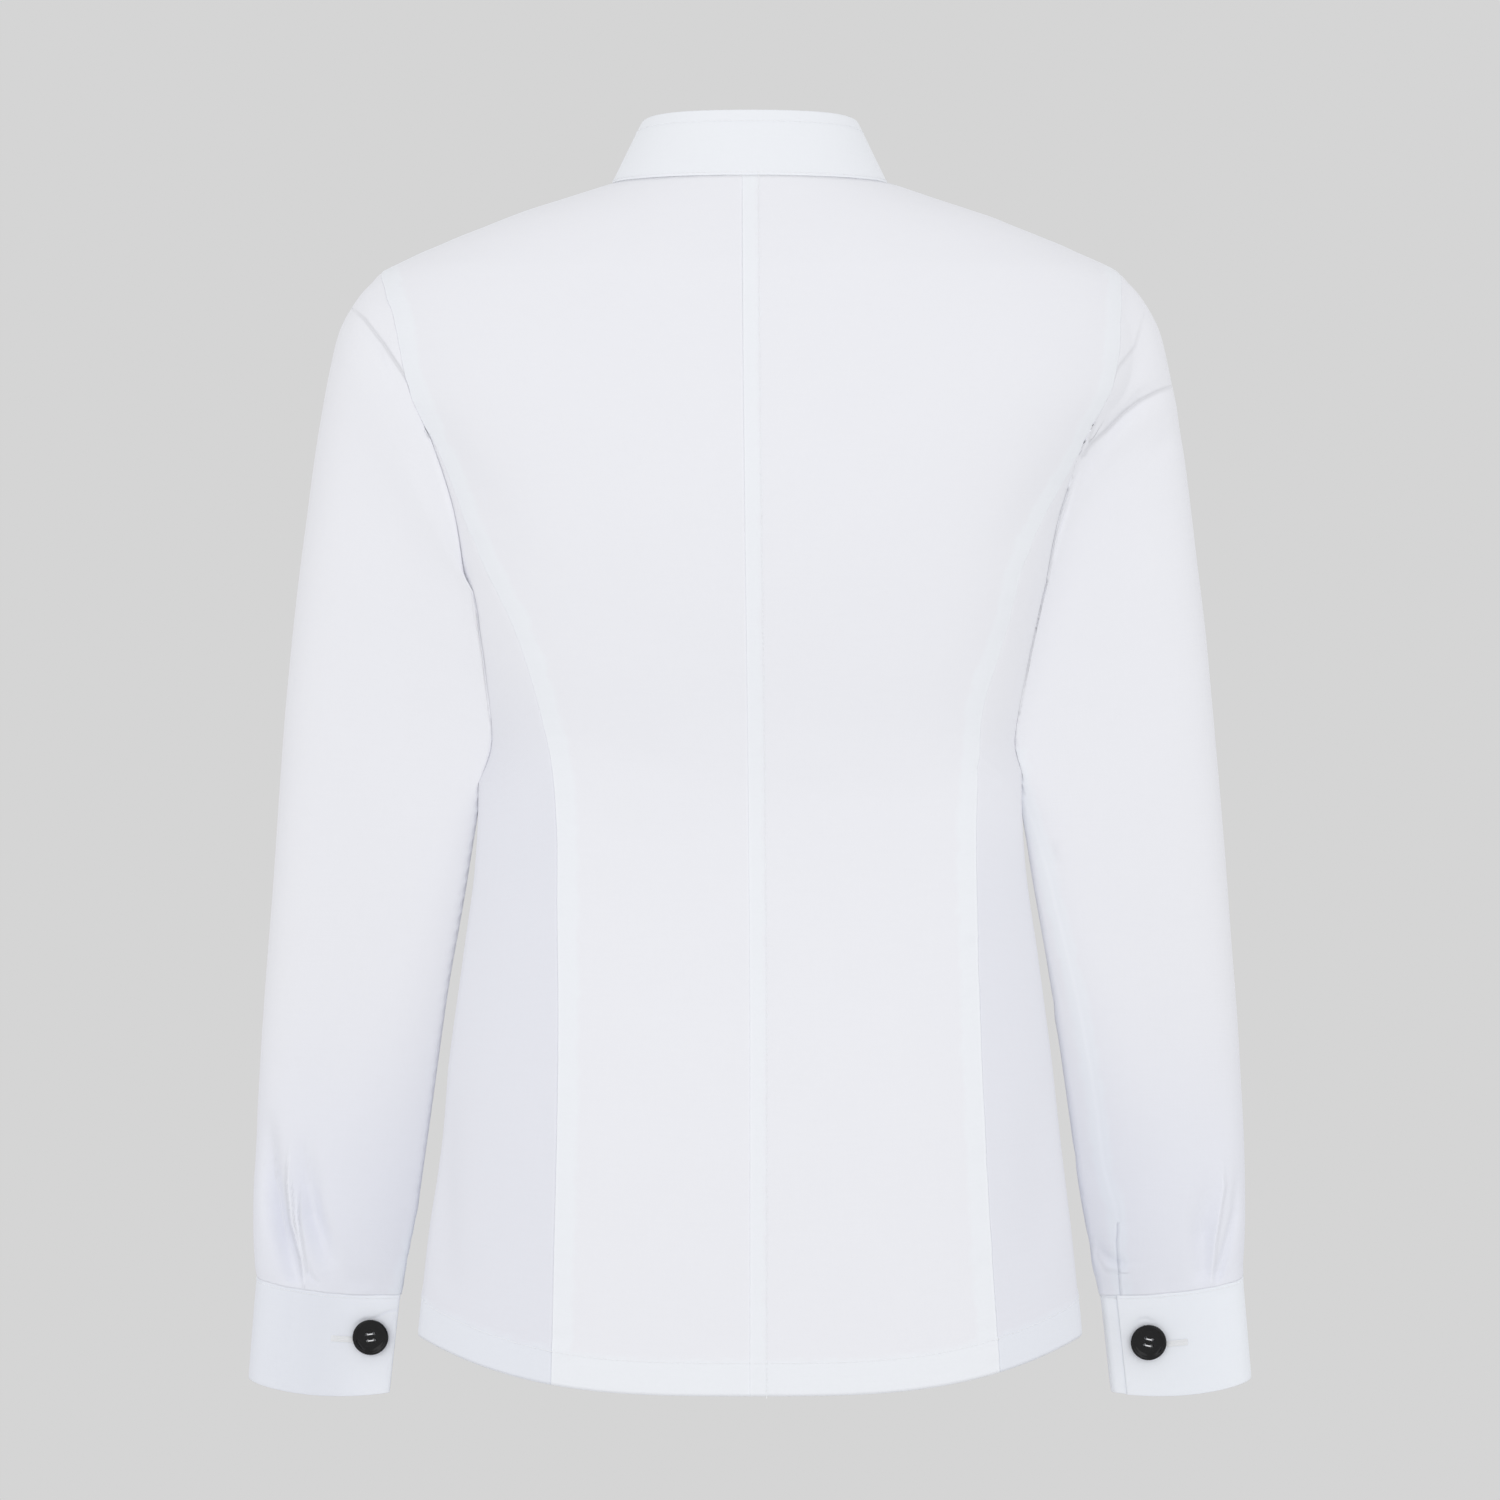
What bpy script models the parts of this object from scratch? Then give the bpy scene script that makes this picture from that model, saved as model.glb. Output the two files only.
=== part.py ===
"""A woman's fitted blouse with a stand collar and long sleeves, filled out as when worn.

Run with blender --background --python part.py, or from Blender's text editor.  Metres, +Z up.
The wearer faces -Y: the back of the blouse faces +Y and its left side is at +X.  The origin is
midway between the two points where a shoulder seam meets the collar.

Every piece is an open sheet laid on the form of the worn blouse, with a Solidify modifier that
gives the cloth its thickness inwards.  The body of the blouse is a stack of level sections, and
each sleeve is a row of rings that fan out from the armhole and then run down to the cuff.
"""

import math
from bisect import bisect_right
from collections import namedtuple
from functools import lru_cache

import bmesh
import bpy
from mathutils import Matrix, Vector

NAME = "waitress_blouse"
LEFT, RIGHT = 1, -1
SIDE_NAME = {LEFT: "left", RIGHT: "right"}

# Cloth and seams
CLOTH = 0.0012  # one layer of poplin with its seam allowances
STIFFENED = 0.0018  # collar and cuffs: two layers with interlining
SEAM_GAP = 0.0003
HALF_GAP = SEAM_GAP / 2
LEANING_WALL = 0.0002  # more room where the walls lean into a seam
ARMHOLE_GAP = 0.0007  # wider, because the wall turns a corner there
SLEEVE_CLEARANCE = 0.0020  # between a sleeve and the side of the body

# Body
Section = namedtuple("Section", "z half_width back front squareness")
BODY = (
    Section(0.000, 0.0725, 0.058, 0.040, 2.00),
    Section(-0.009, 0.1000, 0.061, 0.045, 2.00),
    Section(-0.018, 0.1270, 0.065, 0.050, 2.00),
    Section(-0.028, 0.1520, 0.070, 0.056, 2.00),
    Section(-0.038, 0.1755, 0.074, 0.062, 2.00),
    Section(-0.046, 0.1920, 0.077, 0.067, 2.05),
    Section(-0.058, 0.2015, 0.081, 0.074, 2.12),
    Section(-0.073, 0.2065, 0.084, 0.082, 2.22),
    Section(-0.092, 0.2085, 0.088, 0.090, 2.34),
    Section(-0.111, 0.2035, 0.092, 0.097, 2.44),
    Section(-0.130, 0.1885, 0.096, 0.105, 2.60),
    Section(-0.170, 0.1680, 0.101, 0.120, 2.75),
    Section(-0.208, 0.1580, 0.101, 0.130, 2.90),
    Section(-0.250, 0.1490, 0.096, 0.129, 3.00),
    Section(-0.292, 0.1424, 0.088, 0.116, 3.10),
    Section(-0.323, 0.1407, 0.085, 0.106, 3.20),
    Section(-0.355, 0.1420, 0.088, 0.102, 3.20),
    Section(-0.402, 0.1482, 0.097, 0.107, 3.20),
    Section(-0.449, 0.1541, 0.108, 0.114, 3.20),
    Section(-0.497, 0.1597, 0.117, 0.120, 3.20),
    Section(-0.544, 0.1651, 0.122, 0.125, 3.20),
    Section(-0.585, 0.1689, 0.125, 0.128, 3.20),
    Section(-0.640, 0.1729, 0.128, 0.131, 3.20),
)
SIDE_FULLNESS = 0.15  # how much wider the sections would be if their sides were not flat
FLAT_FROM_Z, FLAT_BELOW_Z = -0.290, -0.345  # the sides flatten between these heights
SIDE_SOFTNESS = 0.0015  # roundness of the edge where a flat side begins
NECK_HALF_WIDTH = 0.0725
NECK_FRONT = 0.084
HEM_SIDE_Z = -0.585
HEM_DROP_BACK = 0.0394
HEM_DROP_FRONT = 0.033
HEM_CURVE = 3.8  # how late the hem drops on its way round to the centre

# The centre back seam starts this far to the left and comes to the middle at its lower end.
CENTRE_BACK_DRIFT = 0.004
CENTRE_BACK_DRIFT_END_Z = -0.450
# Front laps over its other half by this much past the centre line, right over left.
FRONT_LAP = 0.017
LAP_EASE = 0.022  # width over which the lower layer comes out to the surface
LAP_GAP = 0.0009  # between the two layers

# The curved seam of the back, as its distance from the middle on each side.
PrincessRow = namedtuple("PrincessRow", "z left right")
PRINCESS = (
    PrincessRow(-0.127, 0.1693, 0.1783),
    PrincessRow(-0.150, 0.1580, 0.1665),
    PrincessRow(-0.175, 0.1485, 0.1530),
    PrincessRow(-0.200, 0.1383, 0.1418),
    PrincessRow(-0.235, 0.1212, 0.1326),
    PrincessRow(-0.275, 0.1085, 0.1200),
    PrincessRow(-0.305, 0.1018, 0.1174),
    PrincessRow(-0.335, 0.0993, 0.1163),
    PrincessRow(-0.380, 0.0988, 0.1165),
    PrincessRow(-0.430, 0.0980, 0.1175),
    PrincessRow(-0.480, 0.0981, 0.1194),
    PrincessRow(-0.550, 0.0994, 0.1229),
    PrincessRow(-0.640, 0.1012, 0.1285),
)

# Armhole: an oval as seen from the side.
ARMHOLE_Z = -0.127
ARMHOLE_HALF_HEIGHT = 0.081
ARMHOLE_BACK = {LEFT: 0.057, RIGHT: 0.047}
ARMHOLE_FRONT = {LEFT: 0.052, RIGHT: 0.056}

# Sleeve: each row is a ring between its outer and its inner point.
Ring = namedtuple("Ring", "step outer_x outer_z inner_x inner_z back front forward")
SLEEVE = (
    Ring(0, 0.1920, -0.0460, 0.1580, -0.2080, 0.057, 0.052, 0.000),
    Ring(1, 0.2040, -0.0585, 0.1510, -0.2120, 0.056, 0.053, 0.000),
    Ring(2, 0.2135, -0.0760, 0.1440, -0.2170, 0.054, 0.053, 0.000),
    Ring(3, 0.2190, -0.0970, 0.1380, -0.2230, 0.052, 0.053, 0.000),
    Ring(4, 0.2235, -0.1200, 0.1330, -0.2300, 0.050, 0.053, 0.000),
    Ring(5, 0.2285, -0.1510, 0.1300, -0.2380, 0.048, 0.052, 0.000),
    Ring(6, 0.2335, -0.1910, 0.1285, -0.2500, 0.046, 0.051, 0.000),
    Ring(7, 0.2385, -0.2320, 0.1290, -0.2670, 0.043, 0.050, 0.000),
    Ring(8, 0.2425, -0.2750, 0.1320, -0.2910, 0.041, 0.048, 0.000),
    Ring(9, 0.2465, -0.3240, 0.1404, -0.3280, 0.041, 0.047, 0.002),
    Ring(10, 0.2505, -0.3750, 0.1484, -0.3760, 0.041, 0.045, 0.005),
    Ring(11, 0.2552, -0.4250, 0.1577, -0.4270, 0.040, 0.043, 0.009),
    Ring(12, 0.2585, -0.4750, 0.1655, -0.4790, 0.0385, 0.040, 0.013),
    Ring(13, 0.2606, -0.5190, 0.1722, -0.5250, 0.0360, 0.0365, 0.016),
    Ring(14, 0.2606, -0.5475, 0.1778, -0.5545, 0.0328, 0.0330, 0.017),
    Ring(15, 0.2592, -0.5716, 0.1828, -0.5794, 0.0296, 0.0296, 0.018),
)
SLEEVE_SQUARENESS = 3.6  # of the rings below the cap: 2 is an oval, and more is flatter
CUFF_SQUARENESS = 5.5  # and of the cuff
INNER_FULLNESS = 0.6  # beside the body the rings are wider than that by this share, then cut flat
INNER_EDGE = 60  # how sharp the edge of that flat part is
INNER_STEPS = 1.6  # rings over which it forms, below the armhole
CAP_STEPS = 4  # rings over which the cap of the sleeve turns from the shoulder to hang down
UNDERARM_STEPS = 1.6  # the same under the arm, where the sleeve swells out over the body
ARMHOLE_FADE = 4.0  # rings over which the armhole's own curve dies out
INNER_SLANT = 0.06  # how much wider apart the sleeve and the body are in front than behind
SLEEVE_TURN = 0.007  # how much nearer the back the inner side of a sleeve lies than its middle
PRESSED_SOFTNESS = 0.003  # roundness of the edge where a sleeve leaves the body's side

# How much fuller the back of a sleeve is than its rings.
Swell = namedtuple("Swell", "step left right")
SWELL = (
    Swell(0, 0.0, 0.0),
    Swell(1, 0.002, -0.010),
    Swell(3, 0.005, -0.015),
    Swell(5, 0.006, -0.012),
    Swell(7, 0.0065, -0.006),
    Swell(9, 0.003, -0.002),
    Swell(11, 0.0, 0.0),
    Swell(15, 0.0, 0.0),
)

# The underarm seam of a sleeve, in degrees from the outer point round the back.
SeamRow = namedtuple("SeamRow", "step left right")
UNDERARM_SEAM = (
    SeamRow(0, 180, 180),
    SeamRow(7, 180, 152),
    SeamRow(9, 180, 133.5),
    SeamRow(11, 156, 126.5),
    SeamRow(12, 149, 124.6),
    SeamRow(12.75, 145, 124.3),
    SeamRow(13.25, 142, 121.2),
    SeamRow(14, 139, 123.2),
    SeamRow(15, 136, 125.0),
)
CUFF_STEP = SLEEVE[-1].step
SLANT_STEP = 6  # and from here they open towards the front
PITCH_STEP = 8  # from here down the rings lean over to the pitch of the cuff
SAG_STEP = 12  # and from here they take on its sag
VENT_STEP = 13.5  # the seam is open from this ring down to the cuff
VENT_OPENING = 0.0016  # at the cuff

# Folds pressed into the sleeves.  A fold runs through points that are given by their distance
# from the middle and their height; facing is 1 on the back of the sleeve and -1 on its front.
Fold = namedtuple("Fold", "side facing depth width path")
FOLDS = (
    Fold(LEFT, 1, 0.0050, 0.0070, ((0.207, -0.070), (0.197, -0.085), (0.183, -0.106), (0.171, -0.127))),
    Fold(LEFT, 1, 0.0040, 0.0060, ((0.242, -0.512), (0.241, -0.536), (0.236, -0.558), (0.233, -0.582))),
    Fold(LEFT, -1, 0.0045, 0.0080, ((0.210, -0.070), (0.197, -0.090), (0.182, -0.112))),
    Fold(RIGHT, 1, 0.0035, 0.0065, ((0.206, -0.062), (0.204, -0.081), (0.195, -0.096))),
    Fold(RIGHT, 1, 0.0060, 0.0080, ((0.220, -0.107), (0.209, -0.112), (0.194, -0.125), (0.178, -0.142))),
    Fold(RIGHT, 1, 0.0030, 0.0060, ((0.249, -0.524), (0.248, -0.544), (0.243, -0.570))),
    Fold(RIGHT, -1, 0.0040, 0.0080, ((0.214, -0.078), (0.200, -0.098), (0.184, -0.120))),
)

# Cuff: a straight band wrapped round the wrist and lapped over itself.
CUFF_TOP = (0.2210, -0.018, -0.5755)
CUFF_HEIGHT = 0.0530
CUFF_FLARE = 0.0012
CUFF_TILT = math.radians(5.8)  # its outer side stands higher than its inner side
CUFF_PITCH = math.radians(5.5)  # its back hangs lower than its front
CUFF_TOP_HALF_WIDTH = 0.0384
CUFF_TOP_HALF_DEPTH = 0.0296
CUFF_TAPER = 0.0006
CUFF_SAG = 0.0028  # the middle of its back hangs lower than its sides, and its front higher
CUFF_EDGE_SAG = 0.0019  # more of the same at its lower edge
CUFF_LAP = 0.027
CUFF_LAP_EASE = 0.030
CUFF_EDGE = {LEFT: math.radians(136), RIGHT: math.radians(127.5)}
CUFF_LAYER_GAP = 0.0004

# Collar
COLLAR_HEIGHT = 0.0355
COLLAR_LEAN = {"side": 0.0155, "back": 0.008, "front": 0.010}
COLLAR_OPENING = 0.004  # between its ends at the centre front
COLLAR_CORNER = 0.012

# Buttons
BUTTON_DIAMETER = 0.0188
BUTTON_THICKNESS = 0.0032
BUTTON_RIM = 0.0021
BUTTON_DISH = 0.0007
BUTTON_HOLE = 0.0019
BUTTON_HOLE_SPACING = 0.0034
CUFF_BUTTON_STANDOFF = 0.0004
FRONT_BUTTON_STANDOFF = 0.0008
CUFF_BUTTON_FROM_EDGE = {LEFT: 0.0135, RIGHT: 0.0142}
CUFF_BUTTON_DOWN = {LEFT: 0.0219, RIGHT: 0.0249}  # from the top of the cuff
CUFF_BUTTON_TURN = {LEFT: math.radians(13), RIGHT: math.radians(-17)}
FRONT_BUTTONS = 6
FRONT_BUTTON_FIRST_Z = -0.094
FRONT_BUTTON_LAST_Z = -0.500

# How finely each sheet is divided
ROWS_BELOW_ARMHOLE = 12
ROWS_ON_SHOULDER = 3
RING_COLUMNS = 24
# Share of the way from the centre to the shoulder seam, on the neckline and down each panel
BACK_ACROSS = (0.0, 0.04, 0.26, 0.50, 0.75, 0.96, 1.0)
FRONT_ACROSS = (0.0, 0.045, 0.10, 0.20, 0.36, 0.54, 0.76, 0.97, 1.0)
COLLAR_ROWS = (0.0, 0.5, 0.85, 1.0)
CUFF_COLUMNS = 36
BUTTON_SIDES = 24


# ---- reading the tables ----


@lru_cache(maxsize=None)
def prepared(rows):
    """The rows in rising order of their first column, with the slope of each other column at
    each row, for a smooth curve through them."""
    rows = tuple(sorted(rows))
    steps = [b[0] - a[0] for a, b in zip(rows, rows[1:])]
    slopes = []
    for column in range(1, len(rows[0])):
        rises = [(b[column] - a[column]) / h for a, b, h in zip(rows, rows[1:], steps)]
        inner = [
            (rises[k] * steps[k + 1] + rises[k + 1] * steps[k]) / (steps[k] + steps[k + 1])
            for k in range(len(steps) - 1)
        ]
        slopes.append([rises[0], *inner, rises[-1]])
    return rows, [row[0] for row in rows], slopes


def read(table, at):
    """The row of a table at a value of its first column, between its own rows."""
    rows, keys, slopes = prepared(table)
    low = min(max(bisect_right(keys, at) - 1, 0), len(rows) - 2)
    step = keys[low + 1] - keys[low]
    t = min(max((at - keys[low]) / step, 0.0), 1.0)
    values = [at]
    for column, slope in enumerate(slopes, start=1):
        start, end = rows[low][column], rows[low + 1][column]
        values.append(
            (2 * t**3 - 3 * t**2 + 1) * start
            + (t**3 - 2 * t**2 + t) * step * slope[low]
            + (3 * t**2 - 2 * t**3) * end
            + (t**3 - t**2) * step * slope[low + 1]
        )
    return type(rows[0])(*values)


def mixed(start, end, share):
    return start + (end - start) * share


def eased(share):
    """0 to 1 with a level start and end."""
    share = min(max(share, 0.0), 1.0)
    return share * share * (3 - 2 * share)


# ---- the form of the body ----


def reach_at(angle, squareness):
    """How far out a rounded outline lies, against a unit circle, at an angle from an axis."""
    sine, cosine = abs(math.sin(angle)), abs(math.cos(angle))
    return (cosine**squareness + sine**squareness) ** (-1 / squareness)


def flatness(z):
    """0 where the sides of the body are round and 1 where they are flat."""
    return eased((FLAT_FROM_Z - z) / (FLAT_FROM_Z - FLAT_BELOW_Z))


def flattened(x, half_width, z):
    """A distance from the middle, kept inside the flat side of the body."""
    apart = half_width - x
    return half_width - (apart + math.hypot(apart, SIDE_SOFTNESS * flatness(z))) / 2


def body_point(angle, z, inset=0.0):
    """A point of the left half: angle 0 is the centre back and pi is the centre front."""
    s = read(BODY, z)
    sine, cosine = math.sin(angle), math.cos(angle)
    depth = s.back if cosine >= 0 else s.front
    reach = reach_at(angle, s.squareness)
    full = (s.half_width - inset) * (1 + SIDE_FULLNESS * flatness(z))
    x = flattened(full * reach * sine, s.half_width - inset, z)
    return Vector((x, (depth - inset) * reach * cosine, z))


def other_share(share, squareness):
    """How far out a section is across, when it is share of the way along, or the reverse."""
    return max(0.0, 1 - min(abs(share), 1.0) ** squareness) ** (1 / squareness)


def angle_at_width(x, z):
    """The angle on the back at which the body is x from the middle."""
    s = read(BODY, z)
    across = x / (s.half_width * (1 + SIDE_FULLNESS * flatness(z)))
    return math.atan2(across, other_share(across, s.squareness))


def angle_at_depth(y, z):
    """The angle at which the body's surface is y from the middle plane of the shoulders."""
    s = read(BODY, z)
    along = y / (s.back if y >= 0 else s.front)
    return math.atan2(other_share(along, s.squareness), along)


def body_half_width(y, z):
    """How far the body reaches sideways at a depth and height, or 0 beyond its back and front."""
    s = read(BODY, z)
    share = other_share(y / (s.back if y >= 0 else s.front), s.squareness)
    full = s.half_width * (1 + SIDE_FULLNESS * flatness(z))
    return flattened(full * share, s.half_width, z)


def height_at(x, y):
    """The height at which the body's surface lies under a point of the plan."""
    low, high = BODY[-1].z, BODY[0].z
    for _ in range(40):
        middle = (low + high) / 2
        if body_half_width(y, middle) > x:
            low = middle
        else:
            high = middle
    return (low + high) / 2


def hem_z(angle):
    """The hem is lowest at the centre back and the centre front."""
    s = read(BODY, HEM_SIDE_Z)
    n = s.squareness
    toward_middle = abs(math.cos(angle)) / (
        abs(math.cos(angle)) ** n + abs(math.sin(angle)) ** n
    ) ** (1 / n)
    drop = HEM_DROP_BACK if math.cos(angle) >= 0 else HEM_DROP_FRONT
    return HEM_SIDE_Z - drop * toward_middle**HEM_CURVE


def neck_spot(angle):
    """(angle, z) on the body of the neckline's point at an angle of its own plan."""
    if math.cos(angle) >= 0:
        return angle, 0.0
    x = NECK_HALF_WIDTH * math.sin(angle)
    y = NECK_FRONT * math.cos(angle)
    z = height_at(x, y)
    s = read(BODY, z)
    return math.atan2(x / s.half_width, y / s.front), z


def armhole_spot(side, turn):
    """(angle, z) on the body of a point of the armhole, turn radians from its top round the back."""
    reach = ARMHOLE_BACK[side] if math.sin(turn) >= 0 else ARMHOLE_FRONT[side]
    z = ARMHOLE_Z + ARMHOLE_HALF_HEIGHT * math.cos(turn)
    return angle_at_depth(reach * math.sin(turn), z), z


def princess_spot(side, z):
    row = read(PRINCESS, z)
    return angle_at_width(row.left if side == LEFT else row.right, z), z


def centre_back_spot(side, z):
    drift = CENTRE_BACK_DRIFT * eased(1 - z / CENTRE_BACK_DRIFT_END_Z)
    s = read(BODY, z)
    return side * drift / s.half_width, z


# ---- sheets ----


def new_object(name, mesh, material):
    for polygon in mesh.polygons:
        polygon.use_smooth = True
    mesh.materials.append(material)
    item = bpy.data.objects.new(name, mesh)
    bpy.data.collections[NAME].objects.link(item)
    return item


def sheet_mesh(name, grid, mirrored=False, closed_down_to=None):
    """A mesh through a grid of points, whose faces point out when its columns run from the back
    to the left and its rows run up.  The last column is the first one again, down to the given
    row, where a sheet is sewn into a tube."""
    mesh = bpy.data.meshes.new(name)
    work = bmesh.new()
    made = []
    for number, row in enumerate(grid):
        verts = [work.verts.new(point) for point in row]
        if closed_down_to is not None and number >= closed_down_to:
            work.verts.remove(verts[-1])
            verts[-1] = verts[0]
        made.append(verts)
    for below, above in zip(made, made[1:]):
        for k in range(len(below) - 1):
            corners = [below[k], below[k + 1], above[k + 1], above[k]]
            work.faces.new(corners[::-1] if mirrored else corners)
    work.to_mesh(mesh)
    work.free()
    return mesh


def add_wall(item, thickness):
    """Cloth thickness, laid inwards from the sheet."""
    wall = item.modifiers.new("cloth thickness", "SOLIDIFY")
    wall.thickness = thickness
    wall.offset = -1
    wall.use_rim = True


def toward(point, inner, distance):
    return point + (inner - point).normalized() * distance


def set_back_edges(grid, left=0.0, right=0.0, bottom=0.0, top=0.0):
    """Draws the edges of a grid in by the distances given."""
    moved = [
        [toward(row[0], row[1], left), *row[1:-1], toward(row[-1], row[-2], right)]
        for row in grid
    ]
    low = [toward(point, above, bottom) for point, above in zip(moved[0], moved[1])]
    high = [toward(point, below, top) for point, below in zip(moved[-1], moved[-2])]
    return [low, *moved[1:-1], high]


def patch(left, right, bottom, top, across):
    """A grid of (angle, z) spots between four edges that meet at their ends."""
    rows = len(left) - 1
    grid = []
    for j in range(rows + 1):
        v = j / rows
        row = []
        for i, u in enumerate(across):
            row.append(
                tuple(
                    (1 - u) * left[j][c]
                    + u * right[j][c]
                    + (1 - v) * bottom[i][c]
                    + v * top[i][c]
                    - (1 - u) * (1 - v) * left[0][c]
                    - u * (1 - v) * right[0][c]
                    - (1 - u) * v * left[-1][c]
                    - u * v * right[-1][c]
                    for c in (0, 1)
                )
            )
        grid.append(row)
    return grid


def place(side, spots, inset=lambda point: 0.0):
    """Body points of a grid of spots, on the left or mirrored to the right."""
    grid = []
    for row in spots:
        points = []
        for angle, z in row:
            point = body_point(angle, z)
            point.x *= side
            depth = inset(point)
            if depth:
                point = body_point(angle, z, depth)
                point.x *= side
            points.append(point)
        grid.append(points)
    return grid


def steps(count):
    return [k / count for k in range(count + 1)]


def hem_spots(start, end, across):
    return [(mixed(start, end, t), hem_z(mixed(start, end, t))) for t in across]


def rows_up(spot_at, angle_at_hem, top_z):
    """Spots of a seam from the hem up to a height."""
    foot = hem_z(angle_at_hem)
    return [spot_at(mixed(foot, top_z, t)) for t in steps(ROWS_BELOW_ARMHOLE)]


def hem_angle(spot_at):
    """The angle at which a seam meets the hem."""
    angle = 0.0
    for _ in range(8):
        angle = spot_at(hem_z(angle))[0]
    return angle


def ring_turns():
    return [2 * math.pi * k / RING_COLUMNS for k in range(RING_COLUMNS + 1)]


QUARTER = RING_COLUMNS // 4
SIDE_ANGLE = math.pi / 2


def shoulder_spots():
    """The shoulder seam, from the armhole up to the neck."""
    top = ARMHOLE_Z + ARMHOLE_HALF_HEIGHT
    return [(SIDE_ANGLE, mixed(top, 0.0, t)) for t in steps(ROWS_ON_SHOULDER)]


def princess_foot(side):
    return hem_angle(lambda z: princess_spot(side, z))


def back_panel(side, material):
    foot = princess_foot(side)
    armhole = [armhole_spot(side, turn) for turn in ring_turns()[: QUARTER + 1]][::-1]
    outer = rows_up(lambda z: princess_spot(side, z), foot, ARMHOLE_Z)[:-1]
    outer += armhole + shoulder_spots()[1:]
    centre = rows_up(lambda z: centre_back_spot(side, z), 0.0, ARMHOLE_Z)
    centre += [centre_back_spot(side, z) for _, z in outer[len(centre) :]]
    top = [(mixed(centre[-1][0], SIDE_ANGLE, t), 0.0) for t in BACK_ACROSS]
    bottom = hem_spots(centre[0][0], foot, BACK_ACROSS)
    grid = place(side, patch(centre, outer, bottom, top, BACK_ACROSS))
    grid = set_back_edges(grid, left=HALF_GAP, right=HALF_GAP + LEANING_WALL, top=HALF_GAP)
    mesh = sheet_mesh(f"back_{SIDE_NAME[side]}", grid, mirrored=side == LEFT)
    add_wall(new_object(mesh.name, mesh, material), CLOTH)


def side_back_panel(side, material):
    foot = princess_foot(side)
    inner = rows_up(lambda z: princess_spot(side, z), foot, ARMHOLE_Z)
    inner[-1] = armhole_spot(side, ring_turns()[QUARTER])
    underarm_z = ARMHOLE_Z - ARMHOLE_HALF_HEIGHT
    outer = rows_up(lambda z: (SIDE_ANGLE, z), SIDE_ANGLE, underarm_z)
    top = [armhole_spot(side, turn) for turn in ring_turns()[QUARTER : 2 * QUARTER + 1]]
    bottom = hem_spots(foot, SIDE_ANGLE, steps(QUARTER))
    grid = place(side, patch(inner, outer, bottom, top, steps(QUARTER)))
    grid = set_back_edges(grid, left=HALF_GAP + LEANING_WALL, right=HALF_GAP, top=HALF_GAP)
    mesh = sheet_mesh(f"side_back_{SIDE_NAME[side]}", grid, mirrored=side == LEFT)
    add_wall(new_object(mesh.name, mesh, material), CLOTH)


def front_panel(side, material):
    underarm_z = ARMHOLE_Z - ARMHOLE_HALF_HEIGHT
    outer = rows_up(lambda z: (SIDE_ANGLE, z), SIDE_ANGLE, underarm_z)
    armhole = [armhole_spot(side, turn) for turn in ring_turns()[2 * QUARTER :]]
    outer += armhole[1:] + shoulder_spots()[1:]
    lowest, neck = hem_z(math.pi), neck_spot(math.pi)[1]
    shares = [(z - outer[0][1]) / -outer[0][1] for _, z in outer]
    centre = [(math.pi, mixed(lowest, neck, share)) for share in shares]
    top = [neck_spot(mixed(math.pi, SIDE_ANGLE, t)) for t in FRONT_ACROSS]
    bottom = hem_spots(math.pi, SIDE_ANGLE, FRONT_ACROSS)
    spots = patch(centre, outer, bottom, top, FRONT_ACROSS)
    for row in spots:
        lap = FRONT_LAP / read(BODY, row[0][1]).half_width
        row.insert(0, (math.pi + lap, row[0][1]))

    def inset(point):
        if side == RIGHT:
            return 0.0
        return (CLOTH + LAP_GAP) * eased((FRONT_LAP + LAP_EASE - point.x) / LAP_EASE)

    sunk = LAP_GAP if side == LEFT else 0.0
    grid = place(side, spots, inset)
    grid = set_back_edges(grid, right=HALF_GAP, top=HALF_GAP + sunk)
    mesh = sheet_mesh(f"front_{SIDE_NAME[side]}", grid, mirrored=side == RIGHT)
    add_wall(new_object(mesh.name, mesh, material), CLOTH)


# ---- sleeves ----


def swell(side, step):
    row = read(SWELL, step)
    return row.left if side == LEFT else row.right


def ring_reach(step, turn):
    """How far out a ring lies at a turn, against an oval: cut flat behind, beside the body."""
    cosine, sine = math.cos(turn), math.sin(turn)
    squareness = mixed(SLEEVE_SQUARENESS, CUFF_SQUARENESS, step / CUFF_STEP)
    if cosine < 0 < sine:
        across = -cosine / (1 + INNER_FULLNESS)
        full = (across**squareness + sine**squareness) ** (-1 / squareness)
        cut = (full**-INNER_EDGE + (-cosine) ** INNER_EDGE) ** (-1 / INNER_EDGE)
        return mixed(1, cut, eased(step / INNER_STEPS))
    soon = mixed(UNDERARM_STEPS, CAP_STEPS, (1 + cosine) / 2)
    return reach_at(turn, mixed(2, squareness, eased(step / soon)))


def sag(sine, cosine):
    """1 in the middle of the back of a ring, -1 in the middle of its front, 0 at its sides."""
    return math.copysign(max(0.0, 1 - cosine**2), sine)


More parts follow.
